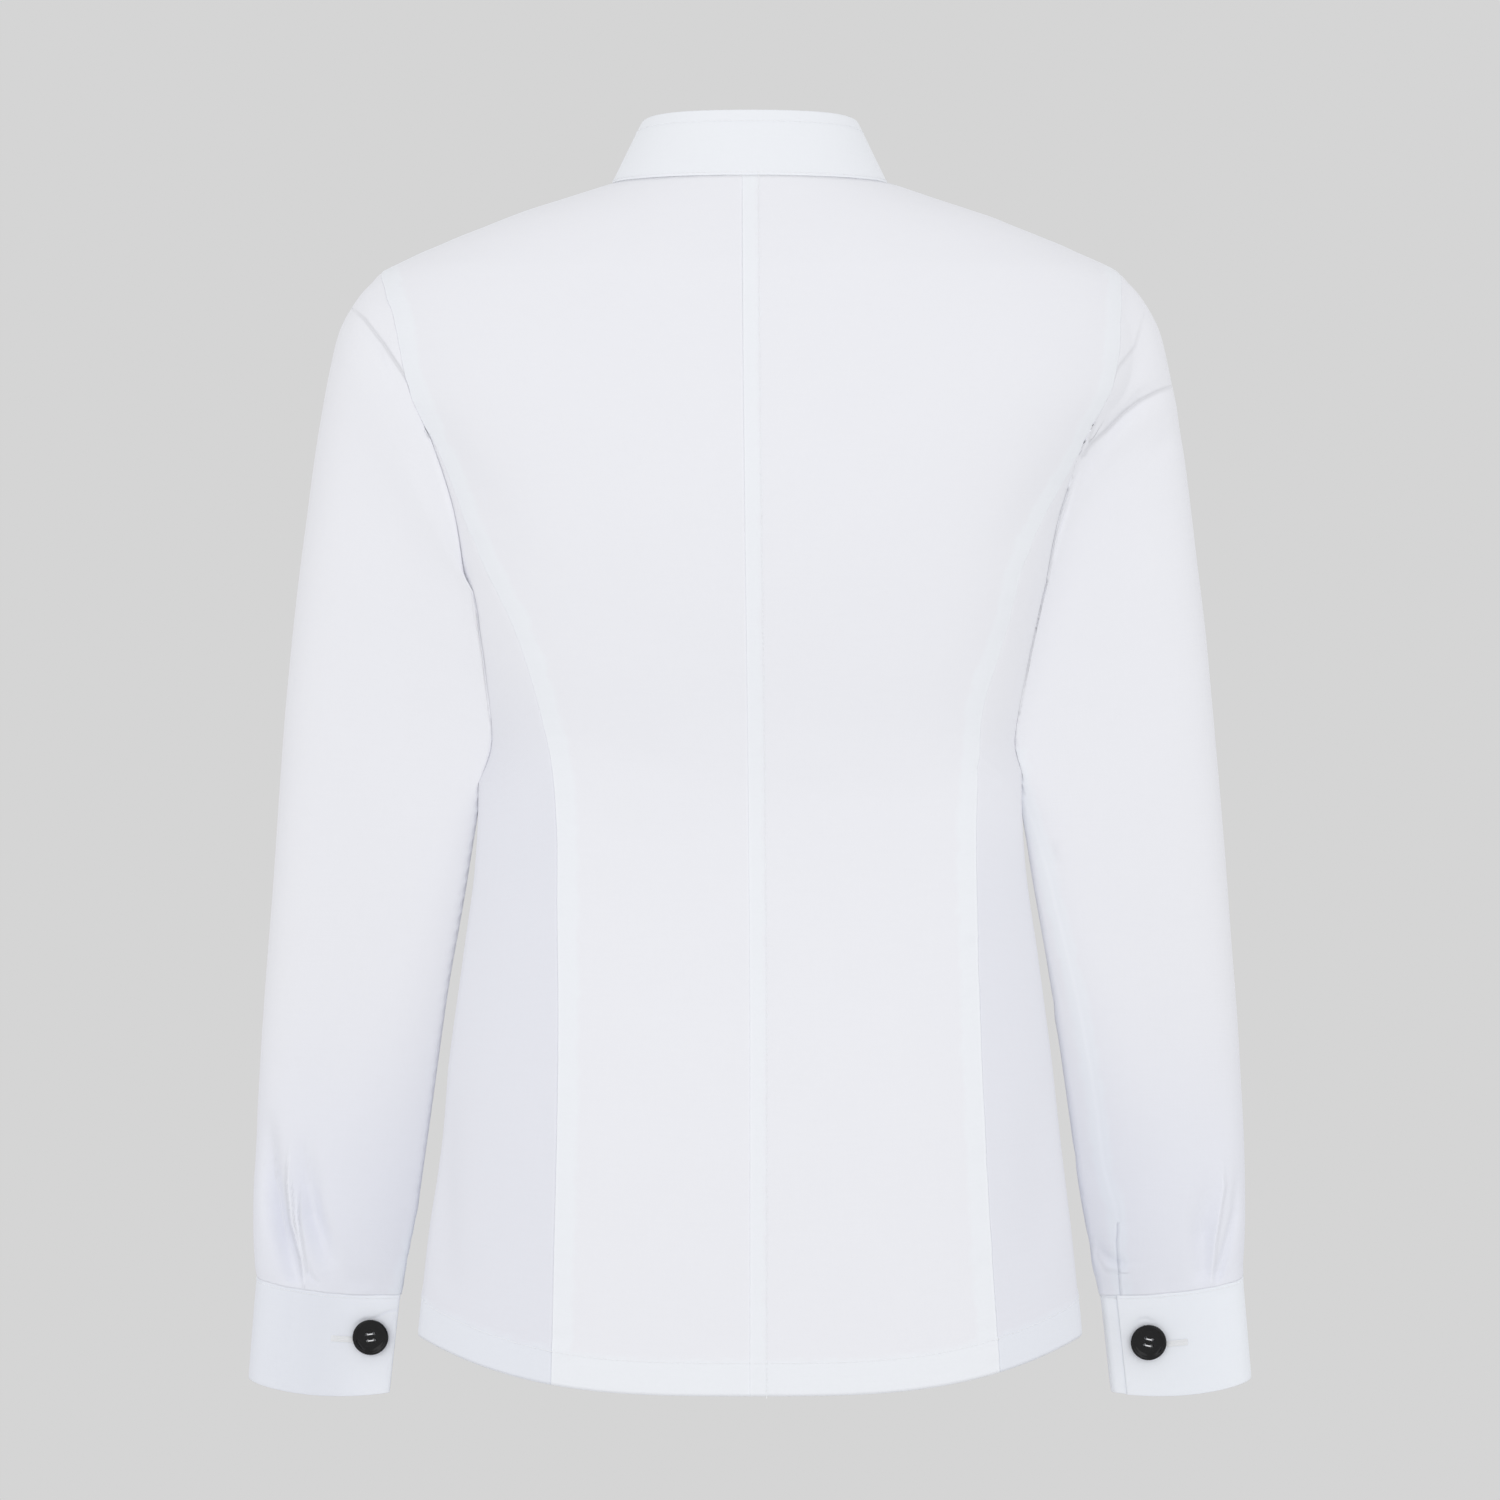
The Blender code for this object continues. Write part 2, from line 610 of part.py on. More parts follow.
def ring_point(side, step, turn):
    """A point of a sleeve's plain form, on the left."""
    ring, first = read(SLEEVE, step), SLEEVE[0]
    oval = math.cos(turn)
    flat = ring_reach(step, turn)
    sine, cosine = flat * math.sin(turn), flat * oval
    x = mixed(ring.inner_x, ring.outer_x, (1 + cosine) / 2)
    z = mixed(ring.inner_z, ring.outer_z, (1 + cosine) / 2)
    fade = max(0.0, 1 - step / ARMHOLE_FADE) ** 2
    if sine >= 0:
        y = (ring.back + (ARMHOLE_BACK[side] - first.back) * fade + swell(side, step)) * sine
    else:
        y = (ring.front + (ARMHOLE_FRONT[side] - first.front) * fade) * sine
    turned = eased(step / CAP_STEPS) * eased((CUFF_STEP - step) / CAP_STEPS)
    slanted = eased((step - SLANT_STEP) / (PITCH_STEP - SLANT_STEP))
    x += INNER_SLANT * slanted * (ring.back - y) * (1 - cosine) / 2
    y -= SLEEVE_TURN * turned * cosine
    z -= y * math.tan(CUFF_PITCH) * eased((step - PITCH_STEP) / (CUFF_STEP - PITCH_STEP))
    z -= CUFF_SAG * sag(sine, cosine) * eased((step - SAG_STEP) / (CUFF_STEP - SAG_STEP))
    y -= ring.forward
    if fade:
        angle, spot_z = armhole_spot(side, turn)
        flat_x = mixed(first.inner_x, first.outer_x, (1 + oval) / 2)
        x += (body_point(angle, spot_z).x - flat_x) * fade
    side_x = body_half_width(y, z)
    apart = x - side_x - SLEEVE_CLEARANCE * min(2 * step, 1.0)
    x += (math.hypot(apart, PRESSED_SOFTNESS * min(step, 1.0)) - apart) / 2
    return Vector((x, y, z))


def fold_depth(side, point):
    """How far the folds of a sleeve push a point of it inwards."""
    depth = 0.0
    for fold in FOLDS:
        if fold.side != side or (point.y > 0) != (fold.facing > 0):
            continue
        here = Vector((point.x, point.z))
        near = min(
            distance_to(here, Vector(a), Vector(b)) for a, b in zip(fold.path, fold.path[1:])
        )
        depth += fold.depth * math.exp(-((near / fold.width) ** 2))
    return depth


def distance_to(point, start, end):
    """From a point to the stretch between two others."""
    along = end - start
    share = min(max((point - start).dot(along) / along.length_squared, 0.0), 1.0)
    return (point - start - along * share).length


def sleeve_point(side, step, turn):
    """A point of the sleeve with its folds, on the left."""
    point = ring_point(side, step, turn)
    depth = fold_depth(side, point)
    if depth and 0 < step < CUFF_STEP:
        middle = (ring_point(side, step, 0) + ring_point(side, step, math.pi)) / 2
        point += (middle - point).normalized() * depth
    return point


def seam_turned(side, step, turn):
    """The columns lean round with the underarm seam, most of all beside it."""
    row = read(UNDERARM_SEAM, step)
    lean = math.radians((row.left if side == LEFT else row.right) - 180)
    return turn + lean * math.sin(turn / 2) ** 2


def sleeve_levels():
    """The rings of the sheet, from the cuff up: closest over the cap and just above the cuff."""
    levels, step = [], CUFF_STEP
    while step > 0:
        levels.append(step)
        step -= 1 if CAP_STEPS < step <= VENT_STEP - 0.5 else 0.5
    return [*levels, 0]


def sleeve(side, material):
    levels = sleeve_levels()
    grid = []
    for step in levels:
        # The first and the last column run down the underarm seam.
        turns = [turn + math.pi for turn in ring_turns()]
        row = [
            sleeve_point(side, step, seam_turned(side, step, turn % (2 * math.pi)))
            for turn in turns
        ]
        if step > VENT_STEP:
            half = VENT_OPENING / 2 * (step - VENT_STEP) / (CUFF_STEP - VENT_STEP)
            row = [toward(row[0], row[1], half), *row[1:-1], toward(row[-1], row[-2], half)]
        grid.append([Vector((side * p.x, p.y, p.z)) for p in row])
    grid = set_back_edges(grid, bottom=HALF_GAP + LEANING_WALL, top=ARMHOLE_GAP)
    sewn_from = next(k for k, step in enumerate(levels) if step <= VENT_STEP)
    mesh = sheet_mesh(f"sleeve_{SIDE_NAME[side]}", grid, side == RIGHT, sewn_from)
    add_wall(new_object(mesh.name, mesh, material), CLOTH)


# ---- cuffs ----


def cuff_height(turn):
    """The band stands a little taller on its outer side and in the middle of its back."""
    reach = ring_reach(CUFF_STEP, turn)
    sagging = sag(reach * math.sin(turn), reach * math.cos(turn))
    return CUFF_HEIGHT + CUFF_FLARE * math.cos(turn) + CUFF_EDGE_SAG * sagging


def cuff_point(side, turn, down, inset=0.0):
    """A point of a cuff's outer face; turn counts from its outer side round the back."""
    drawn_in = CUFF_TAPER * down / CUFF_HEIGHT + inset
    across = Vector((math.cos(CUFF_TILT), 0, math.sin(CUFF_TILT)))
    along = Vector((0, math.cos(CUFF_PITCH), -math.sin(CUFF_PITCH)))
    reach = ring_reach(CUFF_STEP, turn)
    cosine, sine = reach * math.cos(turn), reach * math.sin(turn)
    slant = INNER_SLANT * CUFF_TOP_HALF_DEPTH * (1 - sine) * (1 - cosine) / 2
    point = Vector(CUFF_TOP) + across.cross(along) * -down
    point += across * ((CUFF_TOP_HALF_WIDTH - drawn_in) * cosine + slant)
    point += along * (CUFF_TOP_HALF_DEPTH - drawn_in) * sine
    point.z -= CUFF_SAG * sag(sine, cosine)
    point.x *= side
    return point


def arc_to_turn(length, turn):
    """The angle that a length of cuff covers on its way back from a turn."""
    nudge, covered, passed = 0.002, 0.0, 0.0
    while passed < length:
        here = cuff_point(LEFT, turn - covered, 0)
        covered += nudge
        passed += (here - cuff_point(LEFT, turn - covered, 0)).length
    return covered


def cuff(side, material):
    edge = CUFF_EDGE[side]
    lap = arc_to_turn(CUFF_LAP, edge)
    ease = arc_to_turn(CUFF_LAP_EASE, edge)
    under = STIFFENED + CUFF_LAYER_GAP
    start, end = edge - lap, edge + 2 * math.pi
    grid = []
    for share in (1.0, 0.5, 0.0):
        row = []
        for t in steps(CUFF_COLUMNS):
            turn = mixed(start, end, t)
            inset = under * eased(1 - (turn - edge) / ease)
            down = mixed(HALF_GAP + LEANING_WALL, cuff_height(turn), share)
            row.append(cuff_point(side, turn, down, inset))
        grid.append(row)
    mesh = sheet_mesh(f"cuff_{SIDE_NAME[side]}", grid, mirrored=side == RIGHT)
    add_wall(new_object(mesh.name, mesh, material), STIFFENED)


# ---- collar ----


def collar_point(angle, up):
    """A point of the collar's outer face on the left, up its height from the neckline."""
    spot = neck_spot(angle)
    foot = body_point(*spot)
    facing = "back" if math.cos(angle) >= 0 else "front"
    lean = mixed(COLLAR_LEAN[facing], COLLAR_LEAN["side"], math.sin(angle) ** 4)
    rise = math.sqrt(COLLAR_HEIGHT**2 - lean**2)
    inward = Vector((-math.sin(angle), -math.cos(angle), 0))
    return foot + (inward * lean + Vector((0, 0, rise))) * up


def collar(material):
    start = COLLAR_OPENING / 2 / NECK_HALF_WIDTH
    angles = [t * SIDE_ANGLE for t in BACK_ACROSS]
    angles += [math.pi - t * SIDE_ANGLE for t in FRONT_ACROSS[-2:0:-1]] + [math.pi - start]
    columns = [(RIGHT, angle) for angle in reversed(angles)] + [(LEFT, a) for a in angles[1:]]
    grid = []
    for share in COLLAR_ROWS:
        row = []
        for side, angle in columns:
            from_end = (math.pi - start - angle) * NECK_HALF_WIDTH
            top = COLLAR_HEIGHT
            if from_end < COLLAR_CORNER:
                short = COLLAR_CORNER - from_end
                top -= COLLAR_CORNER - math.sqrt(COLLAR_CORNER**2 - short**2)
            up = mixed(SEAM_GAP, top, share) / COLLAR_HEIGHT
            point = collar_point(angle, up)
            row.append(Vector((side * point.x, point.y, point.z)))
        grid.append(row)
    mesh = sheet_mesh("collar", grid, mirrored=True)
    add_wall(new_object(mesh.name, mesh, material), STIFFENED)


# ---- buttons ----


def button(name, centre, outward, upward, turn, material, cutter_material):
    """A four-hole button whose back lies on the cloth at centre and whose face looks outward."""
    radius, inner = BUTTON_DIAMETER / 2, BUTTON_DIAMETER / 2 - BUTTON_RIM
    rounding = BUTTON_THICKNESS * 0.3
    profile = (
        (0.0, BUTTON_THICKNESS - BUTTON_DISH),
        (inner * 0.8, BUTTON_THICKNESS - BUTTON_DISH),
        (inner, BUTTON_THICKNESS - BUTTON_DISH * 0.6),
        (radius - BUTTON_RIM * 0.6, BUTTON_THICKNESS),
        (radius - rounding * 0.5, BUTTON_THICKNESS - rounding * 0.4),
        (radius, BUTTON_THICKNESS - rounding * 1.4),
        (radius * 0.92, 0.0),
        (0.0, 0.0),
    )
    mesh = bpy.data.meshes.new(name)
    mesh.from_pydata([(r, 0, z) for r, z in profile], [(k, k + 1) for k in range(7)], [])
    item = new_object(name, mesh, material)
    turned = item.modifiers.new("turned", "SCREW")
    turned.axis = "Z"
    turned.steps = turned.render_steps = BUTTON_SIDES
    turned.use_merge_vertices = True
    turned.merge_threshold = 0.00001
    holes = bpy.data.objects.new(name + "_holes", hole_cutters())
    bpy.data.collections["cutters"].objects.link(holes)
    holes.hide_render = True
    holes.display_type = "WIRE"
    holes.data.materials.append(cutter_material)
    cut = item.modifiers.new("sewing holes", "BOOLEAN")
    cut.operation = "DIFFERENCE"
    cut.object = holes
    across = upward.cross(outward).normalized()
    upright = outward.cross(across).normalized()
    frame = Matrix((across, upright, outward)).transposed().to_4x4()
    placed = Matrix.Translation(centre) @ frame
    item.matrix_world = placed @ Matrix.Rotation(turn, 4, "Z")
    holes.matrix_world = item.matrix_world


def hole_cutters():
    """Four drills through a button."""
    mesh = bpy.data.meshes.new("sewing_holes")
    work = bmesh.new()
    for x in (-0.5, 0.5):
        for y in (-0.5, 0.5):
            at = Vector((x, y, 0)) * BUTTON_HOLE_SPACING
            at.z = BUTTON_THICKNESS / 2
            bmesh.ops.create_cone(
                work,
                cap_ends=True,
                segments=8,
                radius1=BUTTON_HOLE / 2,
                radius2=BUTTON_HOLE / 2,
                depth=BUTTON_THICKNESS * 2,
                matrix=Matrix.Translation(at),
            )
    work.to_mesh(mesh)
    work.free()
    return mesh


def cuff_button(side, material, cutter_material):
    turn = CUFF_EDGE[side] - arc_to_turn(CUFF_BUTTON_FROM_EDGE[side], CUFF_EDGE[side])
    down, nudge = CUFF_BUTTON_DOWN[side], 0.01
    centre = cuff_point(side, turn, down)
    along = cuff_point(side, turn + nudge, down) - cuff_point(side, turn - nudge, down)
    up = cuff_point(side, turn, down - nudge * CUFF_HEIGHT) - centre
    outward = along.cross(up).normalized() * side
    name = f"cuff_button_{SIDE_NAME[side]}"
    spin = CUFF_BUTTON_TURN[side]
    centre += outward * CUFF_BUTTON_STANDOFF
    button(name, centre, outward, up.normalized(), spin, material, cutter_material)


def front_button(number, material, cutter_material):
    share = (number - 1) / (FRONT_BUTTONS - 1)
    z = mixed(FRONT_BUTTON_FIRST_Z, FRONT_BUTTON_LAST_Z, share)
    reach = BUTTON_DIAMETER / 2
    high, low = body_point(math.pi, z + reach), body_point(math.pi, z - reach)
    up = (high - low).normalized()
    outward = Vector((1, 0, 0)).cross(up)
    if outward.y > 0:
        outward = -outward
    middle = (high + low) / 2
    surface = body_point(math.pi, z)
    centre = surface if (surface - middle).dot(outward) > 0 else middle
    centre += outward * FRONT_BUTTON_STANDOFF
    button(f"front_button_{number}", centre, outward, up, 0.0, material, cutter_material)


# ---- materials and assembly ----


def material(name, colour, roughness, metallic=0.0):
    made = bpy.data.materials.new(name)
    made.use_nodes = True
    shader = made.node_tree.nodes["Principled BSDF"]
    shader.inputs["Base Color"].default_value = (*colour, 1.0)
    shader.inputs["Roughness"].default_value = roughness
    shader.inputs["Metallic"].default_value = metallic
    return made


def start_empty():
    for item in list(bpy.data.objects):
        bpy.data.objects.remove(item, do_unlink=True)
    for name in (NAME, "cutters"):
        collection = bpy.data.collections.new(name)
        bpy.context.scene.collection.children.link(collection)


def main():
    start_empty()
    white = (0.84, 0.85, 0.89)
    black = (0.01, 0.01, 0.011)
    cutter = material("cutter", (0.8, 0.2, 0.2), 0.5)
    for side in (LEFT, RIGHT):
        back_panel(side, material(f"back cloth {SIDE_NAME[side]}", white, 0.85))
        side_back_panel(side, material(f"side cloth {SIDE_NAME[side]}", white, 0.85))
        front_panel(side, material(f"front cloth {SIDE_NAME[side]}", white, 0.85))
        sleeve(side, material(f"sleeve cloth {SIDE_NAME[side]}", white, 0.85))
        cuff(side, material(f"cuff cloth {SIDE_NAME[side]}", white, 0.85))
        cuff_button(side, material(f"cuff button {SIDE_NAME[side]}", black, 0.15), cutter)
    collar(material("collar cloth", white, 0.85))
    for number in range(1, FRONT_BUTTONS + 1):
        front_button(number, material(f"front button {number}", black, 0.15), cutter)


main()
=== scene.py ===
"""A woman's fitted blouse with a stand collar and long sleeves, in its cloth, stitches and buttons.

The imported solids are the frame.  Each sewn piece is laid again on the form that its solid has,
finer and with its creases, seams and hems, and then stands for that solid.  Metres, +Z up; the
wearer faces -Y and the left side of the blouse is at +X.
"""

import math
from bisect import bisect_right
from collections import namedtuple
from functools import lru_cache

import bmesh
import bpy
from bpy.props import FloatProperty, FloatVectorProperty, PointerProperty
from mathutils import Matrix, Vector, noise
from mathutils.kdtree import KDTree


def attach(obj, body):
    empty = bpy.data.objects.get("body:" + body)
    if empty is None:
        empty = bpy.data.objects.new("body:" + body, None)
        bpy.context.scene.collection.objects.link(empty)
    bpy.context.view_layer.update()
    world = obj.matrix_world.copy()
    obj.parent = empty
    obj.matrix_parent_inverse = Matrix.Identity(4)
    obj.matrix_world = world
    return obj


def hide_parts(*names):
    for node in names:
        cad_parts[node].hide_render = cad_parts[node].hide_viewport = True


bl_info = {
    "name": "Waitress blouse",
    "version": (1, 0, 0),
    "blender": (4, 5, 0),
    "location": "3D View > Sidebar > Blouse",
    "description": "Sews a white blouse on its solids, with stitches, buttonholes and buttons",
    "category": "Object",
}

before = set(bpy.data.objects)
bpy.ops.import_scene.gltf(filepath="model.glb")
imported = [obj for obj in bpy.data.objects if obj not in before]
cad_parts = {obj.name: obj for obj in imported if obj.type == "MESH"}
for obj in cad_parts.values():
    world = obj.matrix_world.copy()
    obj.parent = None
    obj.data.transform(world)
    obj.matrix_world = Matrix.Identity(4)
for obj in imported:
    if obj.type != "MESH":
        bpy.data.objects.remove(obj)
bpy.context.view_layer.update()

LEFT, RIGHT = 1, -1
SIDES = (LEFT, RIGHT)
SIDE_NAME = {LEFT: "left", RIGHT: "right"}

# ---- the cut and the form, as in the solids ----

CLOTH = 0.0009
STIFFENED = 0.0016
SEAM_LAP = -0.00004  # the edges of two pieces reach this far past their seam
SLEEVE_CLEARANCE = 0.00006  # between a sleeve and the side of the body

Section = namedtuple("Section", "z half_width back front squareness")
BODY = (
    Section(0.000, 0.0725, 0.058, 0.040, 2.00),
    Section(-0.009, 0.1000, 0.061, 0.045, 2.00),
    Section(-0.018, 0.1270, 0.065, 0.050, 2.00),
    Section(-0.028, 0.1520, 0.070, 0.056, 2.00),
    Section(-0.038, 0.1755, 0.074, 0.062, 2.00),
    Section(-0.046, 0.1920, 0.077, 0.067, 2.05),
    Section(-0.058, 0.2015, 0.081, 0.074, 2.12),
    Section(-0.073, 0.2065, 0.084, 0.082, 2.22),
    Section(-0.092, 0.2085, 0.088, 0.090, 2.34),
    Section(-0.111, 0.2035, 0.092, 0.097, 2.44),
    Section(-0.130, 0.1885, 0.096, 0.105, 2.60),
    Section(-0.170, 0.1680, 0.101, 0.120, 2.75),
    Section(-0.208, 0.1580, 0.101, 0.130, 2.90),
    Section(-0.250, 0.1490, 0.096, 0.129, 3.00),
    Section(-0.292, 0.1424, 0.088, 0.116, 3.10),
    Section(-0.323, 0.1407, 0.085, 0.106, 3.20),
    Section(-0.355, 0.1420, 0.088, 0.102, 3.20),
    Section(-0.402, 0.1482, 0.097, 0.107, 3.20),
    Section(-0.449, 0.1541, 0.108, 0.114, 3.20),
    Section(-0.497, 0.1597, 0.117, 0.120, 3.20),
    Section(-0.544, 0.1651, 0.122, 0.125, 3.20),
    Section(-0.585, 0.1689, 0.125, 0.128, 3.20),
    Section(-0.640, 0.1729, 0.128, 0.131, 3.20),
)
SIDE_FULLNESS = 0.15  # how much wider the sections would be if their sides were not flat
FLAT_FROM_Z, FLAT_BELOW_Z = -0.290, -0.345  # the sides flatten between these heights
SIDE_SOFTNESS = 0.0015  # roundness of the edge where a flat side begins
NECK_HALF_WIDTH = 0.0725
NECK_FRONT = 0.084
HEM_SIDE_Z = -0.585
HEM_DROP_BACK = 0.0394
HEM_DROP_FRONT = 0.033
HEM_CURVE = 3.8
CENTRE_BACK_DRIFT = 0.004
CENTRE_BACK_DRIFT_END_Z = -0.450
FRONT_LAP = 0.017
LAP_EASE = 0.022
LAP_DROP = 0.0021  # how far the lower layer of the lap lies under the surface

PrincessRow = namedtuple("PrincessRow", "z left right")
PRINCESS = (
    PrincessRow(-0.127, 0.1693, 0.1783),
    PrincessRow(-0.150, 0.1580, 0.1665),
    PrincessRow(-0.175, 0.1485, 0.1530),
    PrincessRow(-0.200, 0.1383, 0.1418),
    PrincessRow(-0.235, 0.1212, 0.1326),
    PrincessRow(-0.275, 0.1085, 0.1200),
    PrincessRow(-0.305, 0.1018, 0.1174),
    PrincessRow(-0.335, 0.0993, 0.1163),
    PrincessRow(-0.380, 0.0988, 0.1165),
    PrincessRow(-0.430, 0.0980, 0.1175),
    PrincessRow(-0.480, 0.0981, 0.1194),
    PrincessRow(-0.550, 0.0994, 0.1229),
    PrincessRow(-0.640, 0.1012, 0.1285),
)

ARMHOLE_Z = -0.127
ARMHOLE_HALF_HEIGHT = 0.081
UNDERARM_Z = ARMHOLE_Z - ARMHOLE_HALF_HEIGHT
ARMHOLE_BACK = {LEFT: 0.057, RIGHT: 0.047}
ARMHOLE_FRONT = {LEFT: 0.052, RIGHT: 0.056}

Ring = namedtuple("Ring", "step outer_x outer_z inner_x inner_z back front forward")
SLEEVE = (
    Ring(0, 0.1920, -0.0460, 0.1580, -0.2080, 0.057, 0.052, 0.000),
    Ring(1, 0.2040, -0.0585, 0.1510, -0.2120, 0.056, 0.053, 0.000),
    Ring(2, 0.2135, -0.0760, 0.1440, -0.2170, 0.054, 0.053, 0.000),
    Ring(3, 0.2190, -0.0970, 0.1380, -0.2230, 0.052, 0.053, 0.000),
    Ring(4, 0.2235, -0.1200, 0.1330, -0.2300, 0.050, 0.053, 0.000),
    Ring(5, 0.2285, -0.1510, 0.1300, -0.2380, 0.048, 0.052, 0.000),
    Ring(6, 0.2335, -0.1910, 0.1285, -0.2500, 0.046, 0.051, 0.000),
    Ring(7, 0.2385, -0.2320, 0.1290, -0.2670, 0.043, 0.050, 0.000),
    Ring(8, 0.2425, -0.2750, 0.1320, -0.2910, 0.041, 0.048, 0.000),
    Ring(9, 0.2465, -0.3240, 0.1404, -0.3280, 0.041, 0.047, 0.002),
    Ring(10, 0.2505, -0.3750, 0.1484, -0.3760, 0.041, 0.045, 0.005),
    Ring(11, 0.2552, -0.4250, 0.1577, -0.4270, 0.040, 0.043, 0.009),
    Ring(12, 0.2585, -0.4750, 0.1655, -0.4790, 0.0385, 0.040, 0.013),
    Ring(13, 0.2606, -0.5190, 0.1722, -0.5250, 0.0360, 0.0365, 0.016),
    Ring(14, 0.2606, -0.5475, 0.1778, -0.5545, 0.0328, 0.0330, 0.017),
    Ring(15, 0.2592, -0.5716, 0.1828, -0.5794, 0.0296, 0.0296, 0.018),
)
CUFF_STEP = SLEEVE[-1].step
SLEEVE_SQUARENESS = 3.6
CUFF_SQUARENESS = 5.5
INNER_FULLNESS = 0.6
INNER_EDGE = 60
INNER_STEPS = 0.6
HUG_STEPS = 2.8
CAP_STEPS = 4
UNDERARM_STEPS = 1.6
ARMHOLE_FADE = 4.0
INNER_SLANT = 0.06
SLEEVE_TURN = 0.007
PRESSED_SOFTNESS = 0.0004
SLANT_STEP = 6
PITCH_STEP = 8
SAG_STEP = 12
VENT_STEP = 13.5
VENT_FADE = 0.8  # steps over which the opening's edges part
VENT_OVER, VENT_UNDER = 0.00012, -0.00014
VENT_EDGE = 0.008
VENT_LAP = 0.0012

Swell = namedtuple("Swell", "step left right")
SWELL = (
    Swell(0, 0.0, 0.0),
    Swell(1, 0.002, -0.010),
    Swell(3, 0.005, -0.015),
    Swell(5, 0.006, -0.012),
    Swell(7, 0.0065, -0.006),
    Swell(9, 0.003, -0.002),
    Swell(11, 0.0, 0.0),
    Swell(15, 0.0, 0.0),
)
SeamRow = namedtuple("SeamRow", "step left right")
UNDERARM_SEAM = (
    SeamRow(0, 180, 180),
    SeamRow(7, 180, 152),
    SeamRow(9, 180, 133.5),
    SeamRow(11, 156, 126.5),
    SeamRow(12, 149, 124.6),
    SeamRow(12.75, 145, 124.3),
    SeamRow(13.25, 142, 121.2),
    SeamRow(14, 139, 123.2),
    SeamRow(15, 136, 125.0),
)

CUFF_TOP = (0.2210, -0.018, -0.5755)
CUFF_HEIGHT = 0.0530
CUFF_FLARE = 0.0012
CUFF_TILT = math.radians(5.8)
CUFF_PITCH = math.radians(5.5)
CUFF_TOP_HALF_WIDTH = 0.0384
CUFF_TOP_HALF_DEPTH = 0.0296
CUFF_TAPER = 0.0006
CUFF_SAG = 0.0028
CUFF_EDGE_SAG = 0.0019
CUFF_LAP = 0.027
CUFF_LAP_EASE = 0.030
CUFF_CLOTH = 0.0007
CUFF_LAP_DROP = 0.0008
CUFF_EDGE = {LEFT: math.radians(136), RIGHT: math.radians(127.5)}

COLLAR_HEIGHT = 0.0355
COLLAR_LEAN = {"side": 0.0155, "back": 0.008, "front": 0.010}
COLLAR_OPENING = 0.004
COLLAR_CORNER = 0.012
COLLAR_FOOT = 0.0002  # the collar starts this far above the neckline

BUTTON_DIAMETER = 0.0188
BUTTON_THICKNESS = 0.0032
BUTTON_HOLE = 0.0019
BUTTON_HOLE_SPACING = 0.0034
CUFF_BUTTON_STANDOFF = 0.0004
FRONT_BUTTON_STANDOFF = 0.0008
CUFF_BUTTON_FROM_EDGE = {LEFT: 0.0135, RIGHT: 0.0142}
CUFF_BUTTON_DOWN = {LEFT: 0.0219, RIGHT: 0.0249}
CUFF_BUTTON_TURN = {LEFT: math.radians(13), RIGHT: math.radians(-17)}
FRONT_BUTTONS = 6
FRONT_BUTTON_FIRST_Z = -0.094
FRONT_BUTTON_LAST_Z = -0.500

# ---- creases ----

